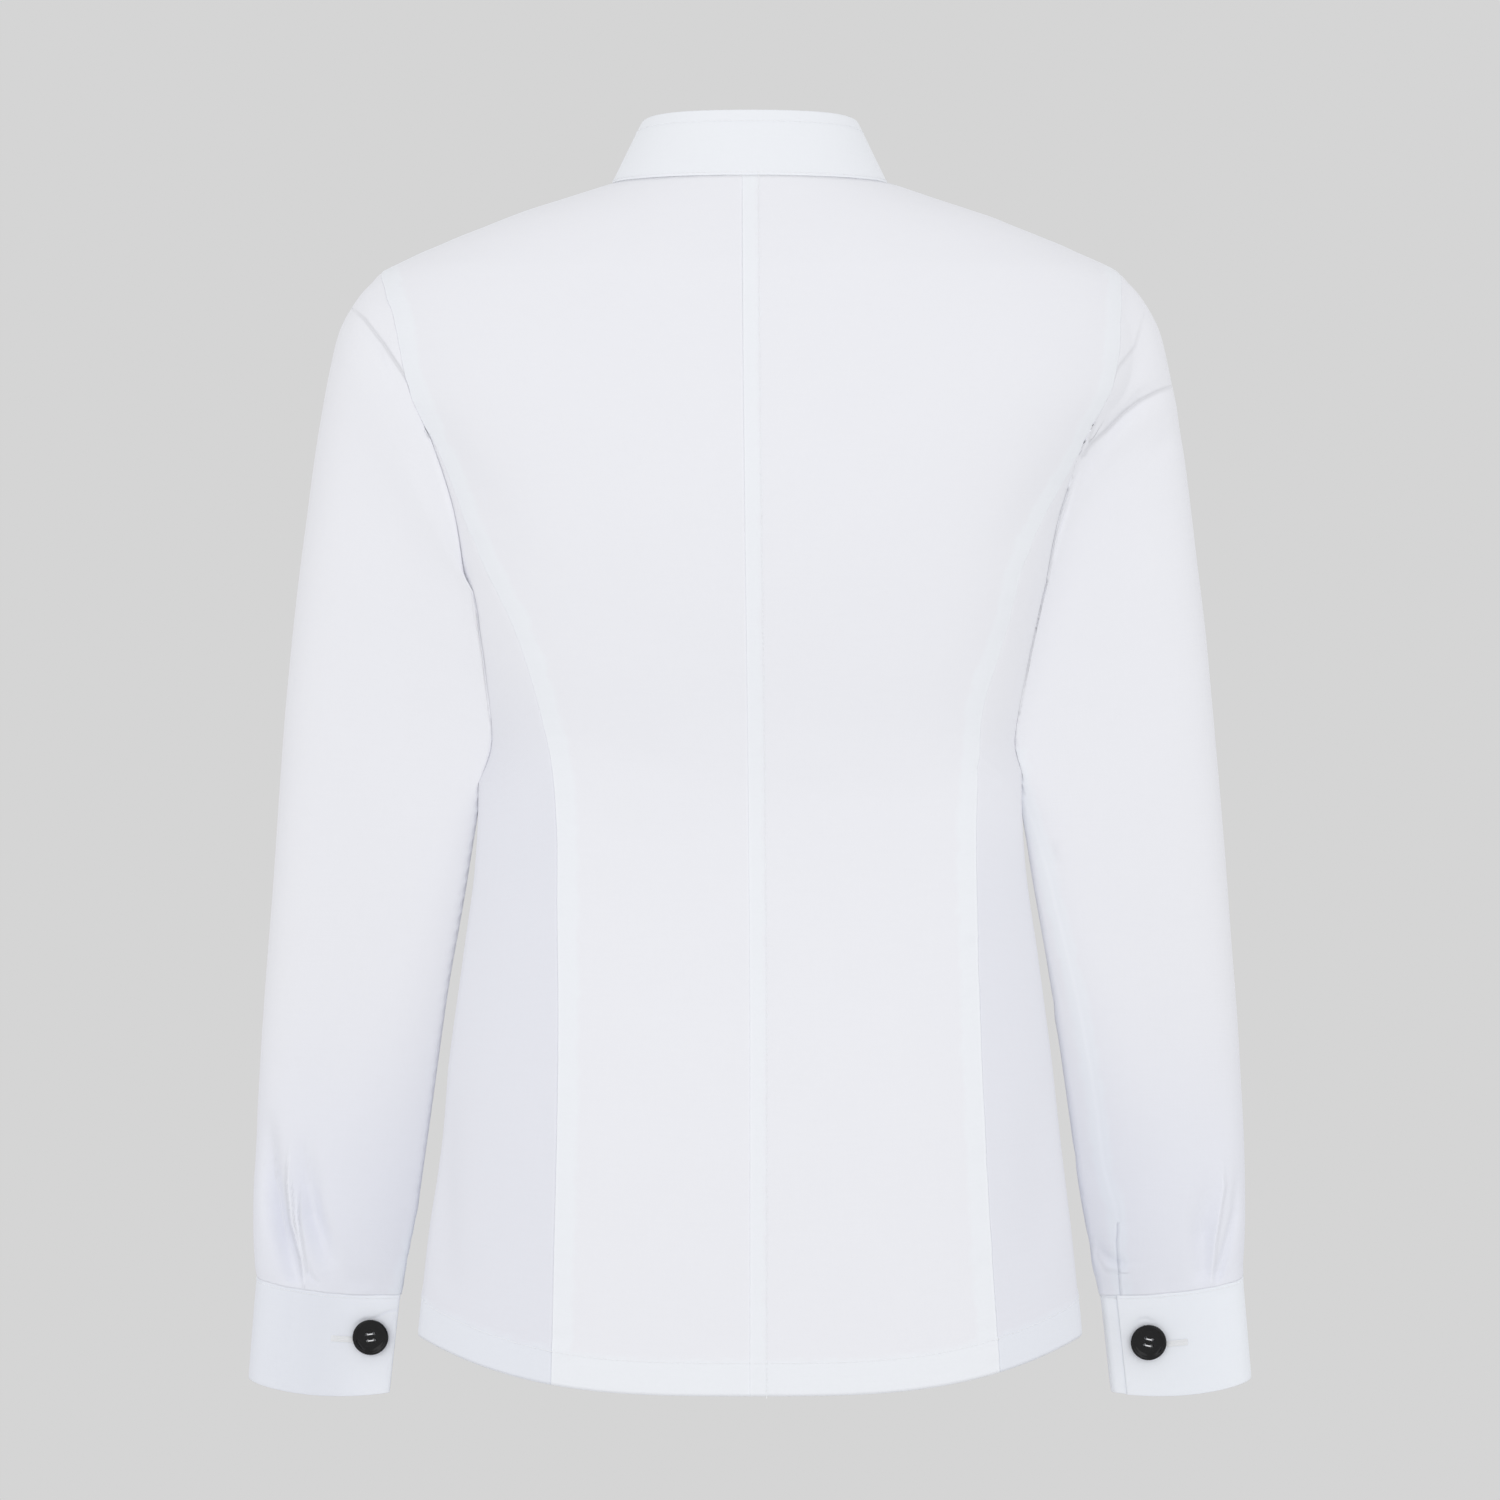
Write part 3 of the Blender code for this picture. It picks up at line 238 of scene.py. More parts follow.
# A crease runs through points (distance from the middle, height, strength).  A positive depth is
# a trough and a negative one a ridge.  lip is the roll of cloth along one side of it.
Crease = namedtuple("Crease", "depth width lip path")
SLEEVE_BACK_CREASES = (
    # left cap: one crease from the shoulder into the armhole
    Crease(0.0026, 0.0042, 0.0, ((0.2040, -0.070, 0.3), (0.1901, -0.0862, 0.9), (0.1728, -0.1125, 1.0),
                                 (0.1660, -0.1260, 0.4))),
    # left arm: long soft troughs
    Crease(0.0014, 0.0130, 0.0, ((0.1830, -0.150, 0.0), (0.1800, -0.200, 1.0), (0.1810, -0.270, 0.3))),
    Crease(0.0010, 0.0150, 0.0, ((0.2150, -0.300, 0.0), (0.2130, -0.370, 1.0), (0.2180, -0.440, 0.2))),
    # left pleat: two ridges that meet at the cuff, with a hollow at either side
    Crease(-0.0012, 0.0022, 0.0, ((0.2402, -0.5028, 0.0), (0.2412, -0.5238, 0.8), (0.2394, -0.5448, 1.0),
                                  (0.2335, -0.5740, 0.8))),
    Crease(0.0095, 0.0050, 0.0, ((0.2530, -0.485, 0.0), (0.2517, -0.5116, 0.7), (0.2482, -0.5355, 1.0),
                                 (0.2433, -0.5522, 1.0), (0.2377, -0.5720, 0.5))),
    Crease(0.0080, 0.0050, 0.0, ((0.2340, -0.500, 0.0), (0.2310, -0.5215, 0.6), (0.2284, -0.5408, 1.0),
                                 (0.2245, -0.5522, 0.8), (0.2190, -0.5690, 0.1))),
    Crease(0.0014, 0.0014, 0.0, ((0.2315, -0.564, 0.2), (0.2300, -0.5720, 1.0), (0.2265, -0.5760, 0.5))),
    Crease(0.0010, 0.0050, 0.0, ((0.2120, -0.5740, 0.2), (0.2010, -0.5750, 1.0), (0.1920, -0.5760, 0.2))),
    # right cap: a short crease by the shoulder and a long one that the cap hangs over
    Crease(0.0014, 0.0036, 0.0, ((-0.2051, -0.0716, 0.2), (-0.1909, -0.0989, 1.0), (-0.1797, -0.1243, 0.5))),
    Crease(0.0030, 0.0046, -0.0008, ((-0.2150, -0.1095, 0.3), (-0.2029, -0.1149, 1.0),
                                     (-0.1853, -0.1308, 1.0), (-0.1750, -0.1410, 0.3))),
    Crease(0.0012, 0.0060, 0.0, ((-0.2220, -0.128, 0.2), (-0.2160, -0.138, 1.0), (-0.2060, -0.150, 0.0))),
    # right arm
    Crease(0.0012, 0.0130, 0.0, ((-0.1950, -0.170, 0.0), (-0.1950, -0.220, 1.0), (-0.2000, -0.290, 0.2))),
    Crease(0.0010, 0.0070, 0.0, ((-0.2420, -0.450, 0.0), (-0.2418, -0.5000, 1.0), (-0.2418, -0.530, 0.3))),
    Crease(0.0011, 0.0025, 0.0006, ((-0.1588, -0.4301, 0.4), (-0.1650, -0.4350, 1.0),
                                    (-0.1703, -0.4411, 0.3))),
    Crease(0.0008, 0.0022, 0.0, ((-0.1510, -0.367, 0.2), (-0.1570, -0.371, 1.0), (-0.1620, -0.372, 0.0))),
    Crease(0.0008, 0.0022, 0.0, ((-0.1530, -0.381, 0.2), (-0.1590, -0.384, 1.0), (-0.1650, -0.384, 0.0))),
    # right pleat
    Crease(-0.0010, 0.0022, 0.0, ((-0.2466, -0.5138, 0.0), (-0.2474, -0.5248, 0.8),
                                  (-0.2431, -0.5532, 1.0), (-0.2412, -0.5759, 0.8))),
    Crease(0.0030, 0.0026, 0.0, ((-0.2560, -0.515, 0.0), (-0.2545, -0.5400, 0.9),
                                 (-0.2490, -0.5600, 1.0), (-0.2445, -0.5750, 0.9))),
    Crease(0.0048, 0.0056, 0.0, ((-0.2380, -0.520, 0.0), (-0.2365, -0.5502, 1.0),
                                 (-0.2372, -0.5690, 0.7))),
    # right wrist, inside of the opening
    Crease(0.0026, 0.0030, 0.0008, ((-0.1790, -0.5510, 0.1), (-0.1830, -0.5602, 0.8),
                                    (-0.1876, -0.5644, 1.0), (-0.1925, -0.5651, 0.8))),
    Crease(0.0012, 0.0022, 0.0, ((-0.1695, -0.5070, 0.4), (-0.1765, -0.5140, 1.0), (-0.1835, -0.5182, 0.2))),
)
SLEEVE_FRONT_CREASES = (
    Crease(0.0036, 0.0028, 0.0012, ((0.2080, -0.072, 0.3), (0.1980, -0.0890, 1.0), (0.1850, -0.1100, 1.0),
                                    (0.1720, -0.1300, 0.6))),
    Crease(0.0022, 0.0040, 0.0, ((0.2240, -0.125, 0.1), (0.2080, -0.1370, 1.0), (0.1850, -0.1560, 0.6))),
    Crease(0.0020, 0.0060, 0.0, ((0.2400, -0.285, 0.1), (0.2100, -0.2960, 1.0), (0.1750, -0.3120, 0.5))),
    Crease(0.0022, 0.0050, 0.0, ((0.2420, -0.322, 0.1), (0.2080, -0.3300, 1.0), (0.1720, -0.3380, 0.4))),
    Crease(0.0016, 0.0060, 0.0, ((0.2340, -0.360, 0.1), (0.2050, -0.3620, 1.0), (0.1760, -0.3600, 0.4))),
    Crease(0.0024, 0.0045, 0.0, ((0.2450, -0.500, 0.0), (0.2420, -0.5400, 1.0), (0.2340, -0.5720, 0.5))),
    Crease(0.0033, 0.0030, -0.0012, ((-0.2120, -0.080, 0.3), (-0.2000, -0.0970, 1.0), (-0.1860, -0.1170, 1.0),
                                     (-0.1730, -0.1350, 0.6))),
    Crease(0.0020, 0.0045, 0.0, ((-0.2250, -0.135, 0.1), (-0.2060, -0.1480, 1.0), (-0.1830, -0.1650, 0.6))),
    Crease(0.0022, 0.0055, 0.0, ((-0.2400, -0.290, 0.1), (-0.2080, -0.3050, 1.0), (-0.1750, -0.3230, 0.5))),
    Crease(0.0018, 0.0055, 0.0, ((-0.2420, -0.335, 0.1), (-0.2080, -0.3430, 1.0), (-0.1750, -0.3470, 0.4))),
    Crease(0.0020, 0.0050, 0.0, ((-0.2480, -0.500, 0.0), (-0.2430, -0.5420, 1.0), (-0.2330, -0.5730, 0.5))),
)
BODY_BACK_CREASES = (
    # side panels over the hips
    Crease(0.0024, 0.0070, 0.0, ((0.1560, -0.460, 0.0), (0.1565, -0.4950, 0.9), (0.1570, -0.5200, 1.0),
                                 (0.1549, -0.5650, 0.6))),
    Crease(0.0018, 0.0110, 0.0, ((-0.1450, -0.460, 0.0), (-0.1471, -0.5035, 0.9), (-0.1497, -0.5293, 1.0),
                                 (-0.1446, -0.5650, 0.3))),
    Crease(0.0006, 0.0020, 0.0, ((0.1085, -0.4740, 0.3), (0.1060, -0.4800, 1.0), (0.1035, -0.4860, 0.3))),
    Crease(0.0006, 0.0018, 0.0, ((0.1065, -0.4900, 0.2), (0.1045, -0.4960, 1.0), (0.1025, -0.5010, 0.3))),
    # right waist: a small pull by the seam
    Crease(-0.0010, 0.0018, 0.0, ((-0.1180, -0.3000, 0.7), (-0.1245, -0.3060, 1.0), (-0.1310, -0.3110, 0.2))),
    Crease(0.0010, 0.0022, 0.0, ((-0.1180, -0.3060, 0.7), (-0.1240, -0.3120, 1.0), (-0.1300, -0.3170, 0.2))),
    # the larger puckers of the right seam's strip
    Crease(0.0007, 0.0016, 0.0004, ((-0.1150, -0.3950, 1.0), (-0.1085, -0.3985, 0.7),
                                    (-0.1040, -0.4010, 0.0))),
    Crease(0.0007, 0.0016, 0.0004, ((-0.1150, -0.4210, 1.0), (-0.1075, -0.4260, 0.7),
                                    (-0.1030, -0.4290, 0.0))),
    Crease(0.0006, 0.0020, 0.0, ((-0.1200, -0.5580, 1.0), (-0.1130, -0.5640, 0.6), (-0.1060, -0.5680, 0.0))),
    # soft pulls from the armholes and across the waist
    Crease(0.0012, 0.0100, 0.0, ((0.1600, -0.1350, 0.6), (0.1380, -0.1650, 1.0), (0.1150, -0.2050, 0.0))),
    Crease(0.0012, 0.0100, 0.0, ((-0.1640, -0.1500, 0.6), (-0.1440, -0.1760, 1.0), (-0.1250, -0.2150, 0.0))),
    Crease(0.0009, 0.0120, 0.0, ((0.0900, -0.2950, 0.3), (0.0500, -0.3030, 1.0), (0.0080, -0.3080, 0.2))),
    Crease(0.0008, 0.0110, 0.0, ((-0.1050, -0.3150, 0.4), (-0.0600, -0.3180, 1.0), (-0.0100, -0.3160, 0.1))),
    Crease(0.0007, 0.0100, 0.0, ((0.0950, -0.3420, 0.4), (0.0600, -0.3400, 1.0), (0.0150, -0.3420, 0.1))),
    Crease(0.0006, 0.0040, 0.0, ((-0.0790, -0.0090, 0.3), (-0.0930, -0.0150, 1.0), (-0.1080, -0.0240, 0.0))),
)
BODY_FRONT_CREASES = (
    # from the armholes towards the bust
    Crease(0.0020, 0.0065, 0.0, ((0.1600, -0.1400, 0.8), (0.1350, -0.1620, 1.0), (0.1050, -0.1850, 0.0))),
    Crease(0.0018, 0.0060, 0.0, ((-0.1600, -0.1450, 0.8), (-0.1330, -0.1700, 1.0), (-0.1020, -0.1900, 0.0))),
    # under the bust and across the waist
    Crease(0.0012, 0.0080, 0.0, ((0.0300, -0.2900, 0.0), (0.0700, -0.3050, 1.0), (0.1150, -0.3120, 0.4))),
    Crease(0.0012, 0.0080, 0.0, ((-0.0350, -0.3000, 0.0), (-0.0750, -0.3120, 1.0), (-0.1180, -0.3160, 0.4))),
    Crease(0.0010, 0.0080, 0.0, ((0.0350, -0.3450, 0.0), (0.0800, -0.3440, 1.0), (0.1250, -0.3380, 0.4))),
    # over the hips
    Crease(0.0020, 0.0090, 0.0, ((0.1300, -0.4600, 0.0), (0.1320, -0.5200, 1.0), (0.1300, -0.5650, 0.5))),
    Crease(0.0020, 0.0100, 0.0, ((-0.1250, -0.4700, 0.0), (-0.1280, -0.5250, 1.0), (-0.1250, -0.5700, 0.5))),
    Crease(0.0014, 0.0110, 0.0, ((0.0500, -0.4700, 0.0), (0.0520, -0.5300, 1.0), (0.0530, -0.5800, 0.6))),
    Crease(0.0014, 0.0120, 0.0, ((-0.0600, -0.4800, 0.0), (-0.0610, -0.5350, 1.0), (-0.0620, -0.5850, 0.6))),
)
CUFF_CREASES = (
    # the pull from the left button to the inner edge, and the hollow beside the buttonhole
    Crease(0.0011, 0.0016, 0.0005, ((0.1985, -0.5960, 0.5), (0.1915, -0.5925, 1.0), (0.1840, -0.5890, 0.6))),
    Crease(0.0012, 0.0030, 0.0, ((0.2100, -0.6080, 0.3), (0.2050, -0.6020, 1.0), (0.1990, -0.5960, 0.4))),
    Crease(0.0009, 0.0090, 0.0, ((0.2350, -0.5830, 0.5), (0.2330, -0.6050, 1.0), (0.2340, -0.6320, 0.4))),
    Crease(0.0010, 0.0030, 0.0, ((-0.2010, -0.5955, 0.2), (-0.2080, -0.5945, 1.0), (-0.2150, -0.5990, 0.3))),
    Crease(0.0006, 0.0026, 0.0, ((-0.2130, -0.5860, 0.1), (-0.2300, -0.5850, 1.0), (-0.2560, -0.5800, 0.2))),
    Crease(0.0007, 0.0090, 0.0, ((-0.2400, -0.5880, 0.4), (-0.2390, -0.6080, 1.0), (-0.2400, -0.6320, 0.3))),
)

# A sharp line in the cloth, drawn as relief and as painted light: painted shade in a crease where its shade
# is above 0, and a painted highlight on the light edge of a fold where it is below.
Line = namedtuple("Line", "shade width path")
SLEEVE_LINES = {
    LEFT: (
        # the crease of the cap, with a faint one beside it, both in painted shade
        Line(0.13, 0.0009, ((0.2067, -0.0674, 0.4), (0.2006, -0.0727, 0.8), (0.1901, -0.0862, 0.9),
                            (0.1810, -0.0997, 1.0), (0.1728, -0.1125, 1.0), (0.1676, -0.1229, 0.9),
                            (0.1643, -0.1301, 0.5))),
        Line(0.04, 0.0008, ((0.1753, -0.0994, 0.0), (0.1706, -0.1089, 1.0), (0.1659, -0.1193, 0.5))),
        # painted light where the sleeve meets the side of the body, which lightens the shade between them
        Line(-0.03, 0.0016, ((0.1677, -0.1282, 0.5), (0.1630, -0.1450, 1.0), (0.1560, -0.1700, 1.0),
                             (0.1486, -0.1976, 0.6))),
        # the two folds of the pleat: painted highlights on their edges, with painted shade beside each
        Line(-0.07, 0.0007, ((0.2402, -0.5028, 0.0), (0.2412, -0.5238, 1.0), (0.2394, -0.5448, 1.0),
                             (0.2343, -0.5637, 1.0), (0.2331, -0.5764, 0.7))),
        Line(0.08, 0.0007, ((0.2421, -0.5028, 0.0), (0.2430, -0.5238, 1.0), (0.2411, -0.5448, 1.0),
                            (0.2360, -0.5637, 1.0), (0.2347, -0.5764, 0.4))),
        Line(-0.06, 0.0007, ((0.2367, -0.5237, 0.0), (0.2371, -0.5405, 1.0), (0.2353, -0.5553, 1.0),
                             (0.2335, -0.5669, 0.2))),
        Line(0.07, 0.0007, ((0.2350, -0.5237, 0.0), (0.2353, -0.5405, 1.0), (0.2335, -0.5553, 1.0),
                            (0.2317, -0.5690, 0.6))),
    ),
    RIGHT: (
        # the two creases of the cap, in painted shade
        Line(0.09, 0.0009, ((-0.2051, -0.0716, 0.2), (-0.2004, -0.0871, 0.8), (-0.1909, -0.0989, 1.0),
                            (-0.1849, -0.1120, 0.9), (-0.1797, -0.1243, 0.8), (-0.1763, -0.1352, 0.6))),
        Line(0.13, 0.0010, ((-0.2207, -0.1067, 0.5), (-0.2120, -0.1103, 0.9), (-0.2029, -0.1149, 1.0),
                            (-0.1939, -0.1218, 1.0), (-0.1853, -0.1308, 1.0), (-0.1765, -0.1387, 0.9),
                            (-0.1721, -0.1448, 0.5))),
        # painted light where the sleeve meets the side of the body, which lightens the shade between them
        Line(-0.06, 0.0016, ((-0.1734, -0.1448, 0.5), (-0.1660, -0.1680, 1.0), (-0.1574, -0.1986, 0.6))),
        # the fold of the pleat: a painted highlight on its edge, with painted shade beside it
        Line(-0.04, 0.0006, ((-0.2466, -0.5138, 0.0), (-0.2474, -0.5248, 1.0), (-0.2431, -0.5532, 1.0),
                             (-0.2412, -0.5759, 0.7))),
        Line(0.05, 0.0006, ((-0.2482, -0.5138, 0.0), (-0.2492, -0.5249, 1.0), (-0.2449, -0.5532, 1.0),
                            (-0.2431, -0.5759, 0.5))),
        # inside of the wrist: creases in painted shade
        Line(0.08, 0.0014, ((-0.1782, -0.5544, 0.0), (-0.1827, -0.5640, 0.8), (-0.1862, -0.5692, 1.0),
                            (-0.1925, -0.5700, 0.8))),
        Line(0.05, 0.0009, ((-0.1536, -0.3468, 0.0), (-0.1588, -0.3499, 1.0), (-0.1640, -0.3515, 0.2))),
    ),
}
CUFF_LINES = {
    LEFT: (
        # the pull from the button to the inner edge, a crease in painted shade
        Line(0.07, 0.0010, ((0.2084, -0.6002, 0.0), (0.2052, -0.5970, 0.8), (0.2010, -0.5949, 1.0),
                            (0.1969, -0.5950, 1.0), (0.1937, -0.5930, 0.8), (0.1890, -0.5907, 0.7),
                            (0.1855, -0.5900, 0.3))),
    ),
    RIGHT: (
        Line(0.06, 0.0010, ((-0.2000, -0.5975, 0.0), (-0.2040, -0.5950, 0.8), (-0.2080, -0.5945, 1.0),
                            (-0.2125, -0.5965, 0.0))),
    ),
}
LINE_REACH = 5  # widths away from a line at which nothing of it is left
LINE_RELIEF = 0.0040  # height for a shade of 1

# The darts of the fronts, as (distance from the middle, height), on either side.
DART_RISE = 0.0004  # how far the cloth stands out beside a dart
DART_REACH = 0.006
BUST_DART = ((0.156, -0.236), (0.128, -0.224), (0.101, -0.214))
WAIST_DART = ((0.080, -0.262), (0.078, -0.325), (0.078, -0.400), (0.080, -0.458))

# ---- seams, hems and their stitches ----

SEAM_ROLL_DEPTH = 0.00012
SEAM_ROLL_WIDTH = 0.0009
STRIP_EDGE = 0.0026  # width of the step where a doubled strip ends
DOUBLED = 0.00022  # how far the cloth stands out over a seam's allowance
SEAM_HIGHLIGHT = 0.0011  # width of the painted highlight beside a seam, where its ironed edge catches the light
HEM_DEPTH = 0.018
HEM_STITCH = 0.0167
PRINCESS_STRIP = 0.0105
ARMHOLE_HOLD = 0.009  # the armhole seam holds the cloth to its form over this width
CUFF_HOLD = 0.006
BODY_HOLD = 0.007  # and so does the side of the body, where a sleeve lies against it
CENTRE_STRIP = 0.0079
SLEEVE_STRIP = 0.0050
CENTRE_STITCH = 0.0085
PLACKET_STITCHES = (0.003, 0.031)
COLLAR_STITCHES_FROM_TOP = 0.006
EDGE_STITCH = 0.0016
CUFF_PAINTED_LIGHT = {
    # painted light at the inner edge of a cuff, and at its outer side painted shade on the left and a little
    # painted light on the right
    LEFT: ((1.06, 1.065, 1.08), (0.94, 0.945, 0.97)),
    RIGHT: ((1.06, 1.065, 1.07), (1.01, 1.02, 1.03)),
}
# where the painted light of a cuff's inner edge gives way to the painted tone of its outer side
CUFF_PAINTED_FROM_X = 0.190
CUFF_PAINTED_OVER = 0.040
SHADE_TOWARD_CUFF = (0.962, 0.970, 0.995)  # painted shade on the lowest part of a sleeve, darker and bluer toward the cuff
TOWARD_CUFF_FROM_Z = -0.400
TOWARD_CUFF_OVER = 0.150
# Painted shade on the lower side backs, which are turned from the light: the height where it begins on each
# side, and the height over which it comes in
TURNED_AWAY_FROM_Z = {LEFT: -0.210, RIGHT: -0.255}
TURNED_AWAY_OVER = 0.13
BUTTONHOLE_LENGTH = 0.0205
BUTTONHOLE_HALF_WIDTH = 0.0008
BUTTONHOLE_POINTS = 12
FRONT_HOLE_ABOVE = 0.0035  # how far a buttonhole of the front reaches above its button's middle
CUFF_HOLE_BELOW = 0.0018  # how far a cuff's buttonhole lies below its button's middle
FRONT_HOLE_LIFT, CUFF_HOLE_LIFT = 0.0003, 0.0002


def colour_setting(name, description, default):
    return FloatVectorProperty(
        name=name, description=description, subtype="COLOR", size=3, default=default, min=0, max=1
    )


def length_setting(name, description, default, low, high):
    return FloatProperty(
        name=name, description=description, default=default, min=low, max=high, unit="LENGTH"
    )


def share_setting(name, description, default, high=1.0):
    return FloatProperty(
        name=name, description=description, default=default, min=0, max=high, subtype="FACTOR"
    )


def power_setting(name, description, default):
    return FloatProperty(
        name=name, description=description, default=default, min=0, max=1000, unit="POWER"
    )


class ClothSettings(bpy.types.PropertyGroup):
    """The cloth and how it is sewn"""

    colour: colour_setting("Cloth", "Single layer of poplin", (0.905, 0.911, 0.955))
    doubled_colour: colour_setting(
        "Doubled cloth", "Where a seam allowance or hem lies under it", (0.916, 0.936, 0.978)
    )
    thread_colour: colour_setting("Thread", "Sewing thread", (0.97, 0.98, 1.0))
    # Painted shade colour for the lower side backs, which are turned from the light
    turned_away: colour_setting(
        "Turned away", "Tint of the side backs, which are turned from the light",
        (0.93, 0.935, 0.958),
    )
    # Painted highlight: how much lighter the cloth is painted beside a seam, where its ironed edge catches
    # the light
    pressed: share_setting(
        "Painted seam highlights", "How much lighter the cloth is beside a seam", 0.03, 0.5
    )
    weave_pitch: length_setting(
        "Weave", "From one thread of the weave to the next", 0.00036, 0.0001, 0.002
    )
    crease: share_setting("Creases", "Depth of the creases, as a share of their full depth", 1, 2)
    pucker: length_setting(
        "Puckers", "Height of the puckers along a stitched seam", 0.00042, 0, 0.003
    )
    uneven: length_setting("Unevenness", "How far the cloth strays from its form", 0.0011, 0, 0.005)


class StitchSettings(bpy.types.PropertyGroup):
    """Stitches and buttonholes"""

    pitch: length_setting("Pitch", "From one stitch to the next", 0.0028, 0.001, 0.01)
    length: length_setting(
        "Length", "Length of the thread that shows in a stitch", 0.0022, 0.0005, 0.01
    )
    thickness: length_setting("Thread", "Thickness of the thread", 0.00034, 0.0001, 0.002)
    satin_pitch: length_setting(
        "Satin pitch", "From one stitch of a buttonhole to the next", 0.0003, 0.0002, 0.002
    )


class ButtonSettings(bpy.types.PropertyGroup):
    """Buttons"""

    colour: colour_setting("Button", "Polished plastic", (0.0045, 0.0045, 0.0052))
    roughness: share_setting("Roughness", "Roughness of the polish", 0.16)


class StageSettings(bpy.types.PropertyGroup):
    """Floor, light and camera"""

    floor: colour_setting("Floor", "Pale floor, below the picture", (0.80, 0.80, 0.80))
    backdrop: colour_setting(
        "Backdrop", "Plain pale grey round the blouse", (0.665, 0.665, 0.665)
    )
    ambient: FloatProperty(
        name="Ambient", description="Strength of the even light from all round",
        default=0.80, min=0, max=5,
    )
    key: power_setting("Key", "Power of the large lamp above the camera", 13.0)
    fill: power_setting("Fill", "Power of the lamp on the other side", 12.0)


# ---- reading the tables ----


@lru_cache(maxsize=None)
def prepared(rows):
    """The rows in rising order of their first column, with the slope of each other column at
    each row, for a smooth curve through them."""
    rows = tuple(sorted(rows))
    steps = [b[0] - a[0] for a, b in zip(rows, rows[1:])]
    slopes = []
    for column in range(1, len(rows[0])):
        rises = [(b[column] - a[column]) / h for a, b, h in zip(rows, rows[1:], steps)]
        inner = [
            (rises[k] * steps[k + 1] + rises[k + 1] * steps[k]) / (steps[k] + steps[k + 1])
            for k in range(len(steps) - 1)
        ]
        slopes.append([rises[0], *inner, rises[-1]])
    return rows, [row[0] for row in rows], slopes


def read(table, at):
    """The row of a table at a value of its first column, between its own rows."""
    rows, keys, slopes = prepared(table)
    low = min(max(bisect_right(keys, at) - 1, 0), len(rows) - 2)
    step = keys[low + 1] - keys[low]
    t = min(max((at - keys[low]) / step, 0.0), 1.0)
    a, b = (2 * t - 3) * t * t + 1, ((t - 2) * t + 1) * t * step
    c, d = (3 - 2 * t) * t * t, (t - 1) * t * t * step
    values = [at]
    for column, slope in enumerate(slopes, start=1):
        values.append(
            a * rows[low][column] + b * slope[low] + c * rows[low + 1][column] + d * slope[low + 1]
        )
    return type(rows[0])(*values)


def mixed(start, end, share):
    return start + (end - start) * share


def eased(share):
    """0 to 1 with a level start and end."""
    share = min(max(share, 0.0), 1.0)
    return share * share * (3 - 2 * share)


def steps(count):
    return [k / count for k in range(count + 1)]


def graded(length, step, close_step, close_reach):
    """Shares of a length from 0 to 1 in steps that are closer near both its ends."""
    near = [0.0, 0.0004, 0.0010]
    while near[-1] + close_step < close_reach:
        near.append(near[-1] + close_step)
    middle = length - 2 * near[-1]
    count = max(1, math.ceil(middle / step))
    inner = [near[-1] + middle * k / count for k in range(1, count)]
    far = [length - d for d in reversed(near)]
    return [d / length for d in (*near, *inner, *far)]


# ---- the form of the body ----


def reach_at(angle, squareness):
    """How far out a rounded outline lies, against a unit circle, at an angle from an axis."""
    sine, cosine = abs(math.sin(angle)), abs(math.cos(angle))
    return (cosine**squareness + sine**squareness) ** (-1 / squareness)


def flatness(z):
    """0 where the sides of the body are round and 1 where they are flat."""
    return eased((FLAT_FROM_Z - z) / (FLAT_FROM_Z - FLAT_BELOW_Z))


def flattened(x, half_width, z):
    """A distance from the middle, kept inside the flat side of the body."""
    apart = half_width - x
    return half_width - (apart + math.hypot(apart, SIDE_SOFTNESS * flatness(z))) / 2


def body_point(angle, z, inset=0.0):
    """A point of the left half: angle 0 is the centre back and pi is the centre front."""
    s = read(BODY, z)
    sine, cosine = math.sin(angle), math.cos(angle)
    depth = s.back if cosine >= 0 else s.front
    reach = reach_at(angle, s.squareness)
    full = (s.half_width - inset) * (1 + SIDE_FULLNESS * flatness(z))
    x = flattened(full * reach * sine, s.half_width - inset, z)
    return Vector((x, (depth - inset) * reach * cosine, z))


def other_share(share, squareness):
    """How far out a section is across, when it is share of the way along, or the reverse."""
    return max(0.0, 1 - min(abs(share), 1.0) ** squareness) ** (1 / squareness)


def angle_at_width(x, z):
    s = read(BODY, z)
    across = x / (s.half_width * (1 + SIDE_FULLNESS * flatness(z)))
    return math.atan2(across, other_share(across, s.squareness))


def angle_at_depth(y, z):
    s = read(BODY, z)
    along = y / (s.back if y >= 0 else s.front)
    return math.atan2(other_share(along, s.squareness), along)


def body_half_width(y, z):
    """How far the body reaches sideways at a depth and height, or 0 beyond its back and front."""
    s = read(BODY, z)
    share = other_share(y / (s.back if y >= 0 else s.front), s.squareness)
    full = s.half_width * (1 + SIDE_FULLNESS * flatness(z))
    return flattened(full * share, s.half_width, z)


def height_at(x, y):
    """The height at which the body's surface lies under a point of the plan."""
    low, high = BODY[-1].z, BODY[0].z
    for _ in range(40):
        middle = (low + high) / 2
        if body_half_width(y, middle) > x:
            low = middle
        else:
            high = middle
    return (low + high) / 2


def hem_z(angle):
    """The hem is lowest at the centre back and the centre front."""
    n = read(BODY, HEM_SIDE_Z).squareness
    sine, cosine = abs(math.sin(angle)), math.cos(angle)
    toward_middle = abs(cosine) / (abs(cosine) ** n + sine**n) ** (1 / n)
    drop = HEM_DROP_BACK if cosine >= 0 else HEM_DROP_FRONT
    return HEM_SIDE_Z - drop * toward_middle**HEM_CURVE


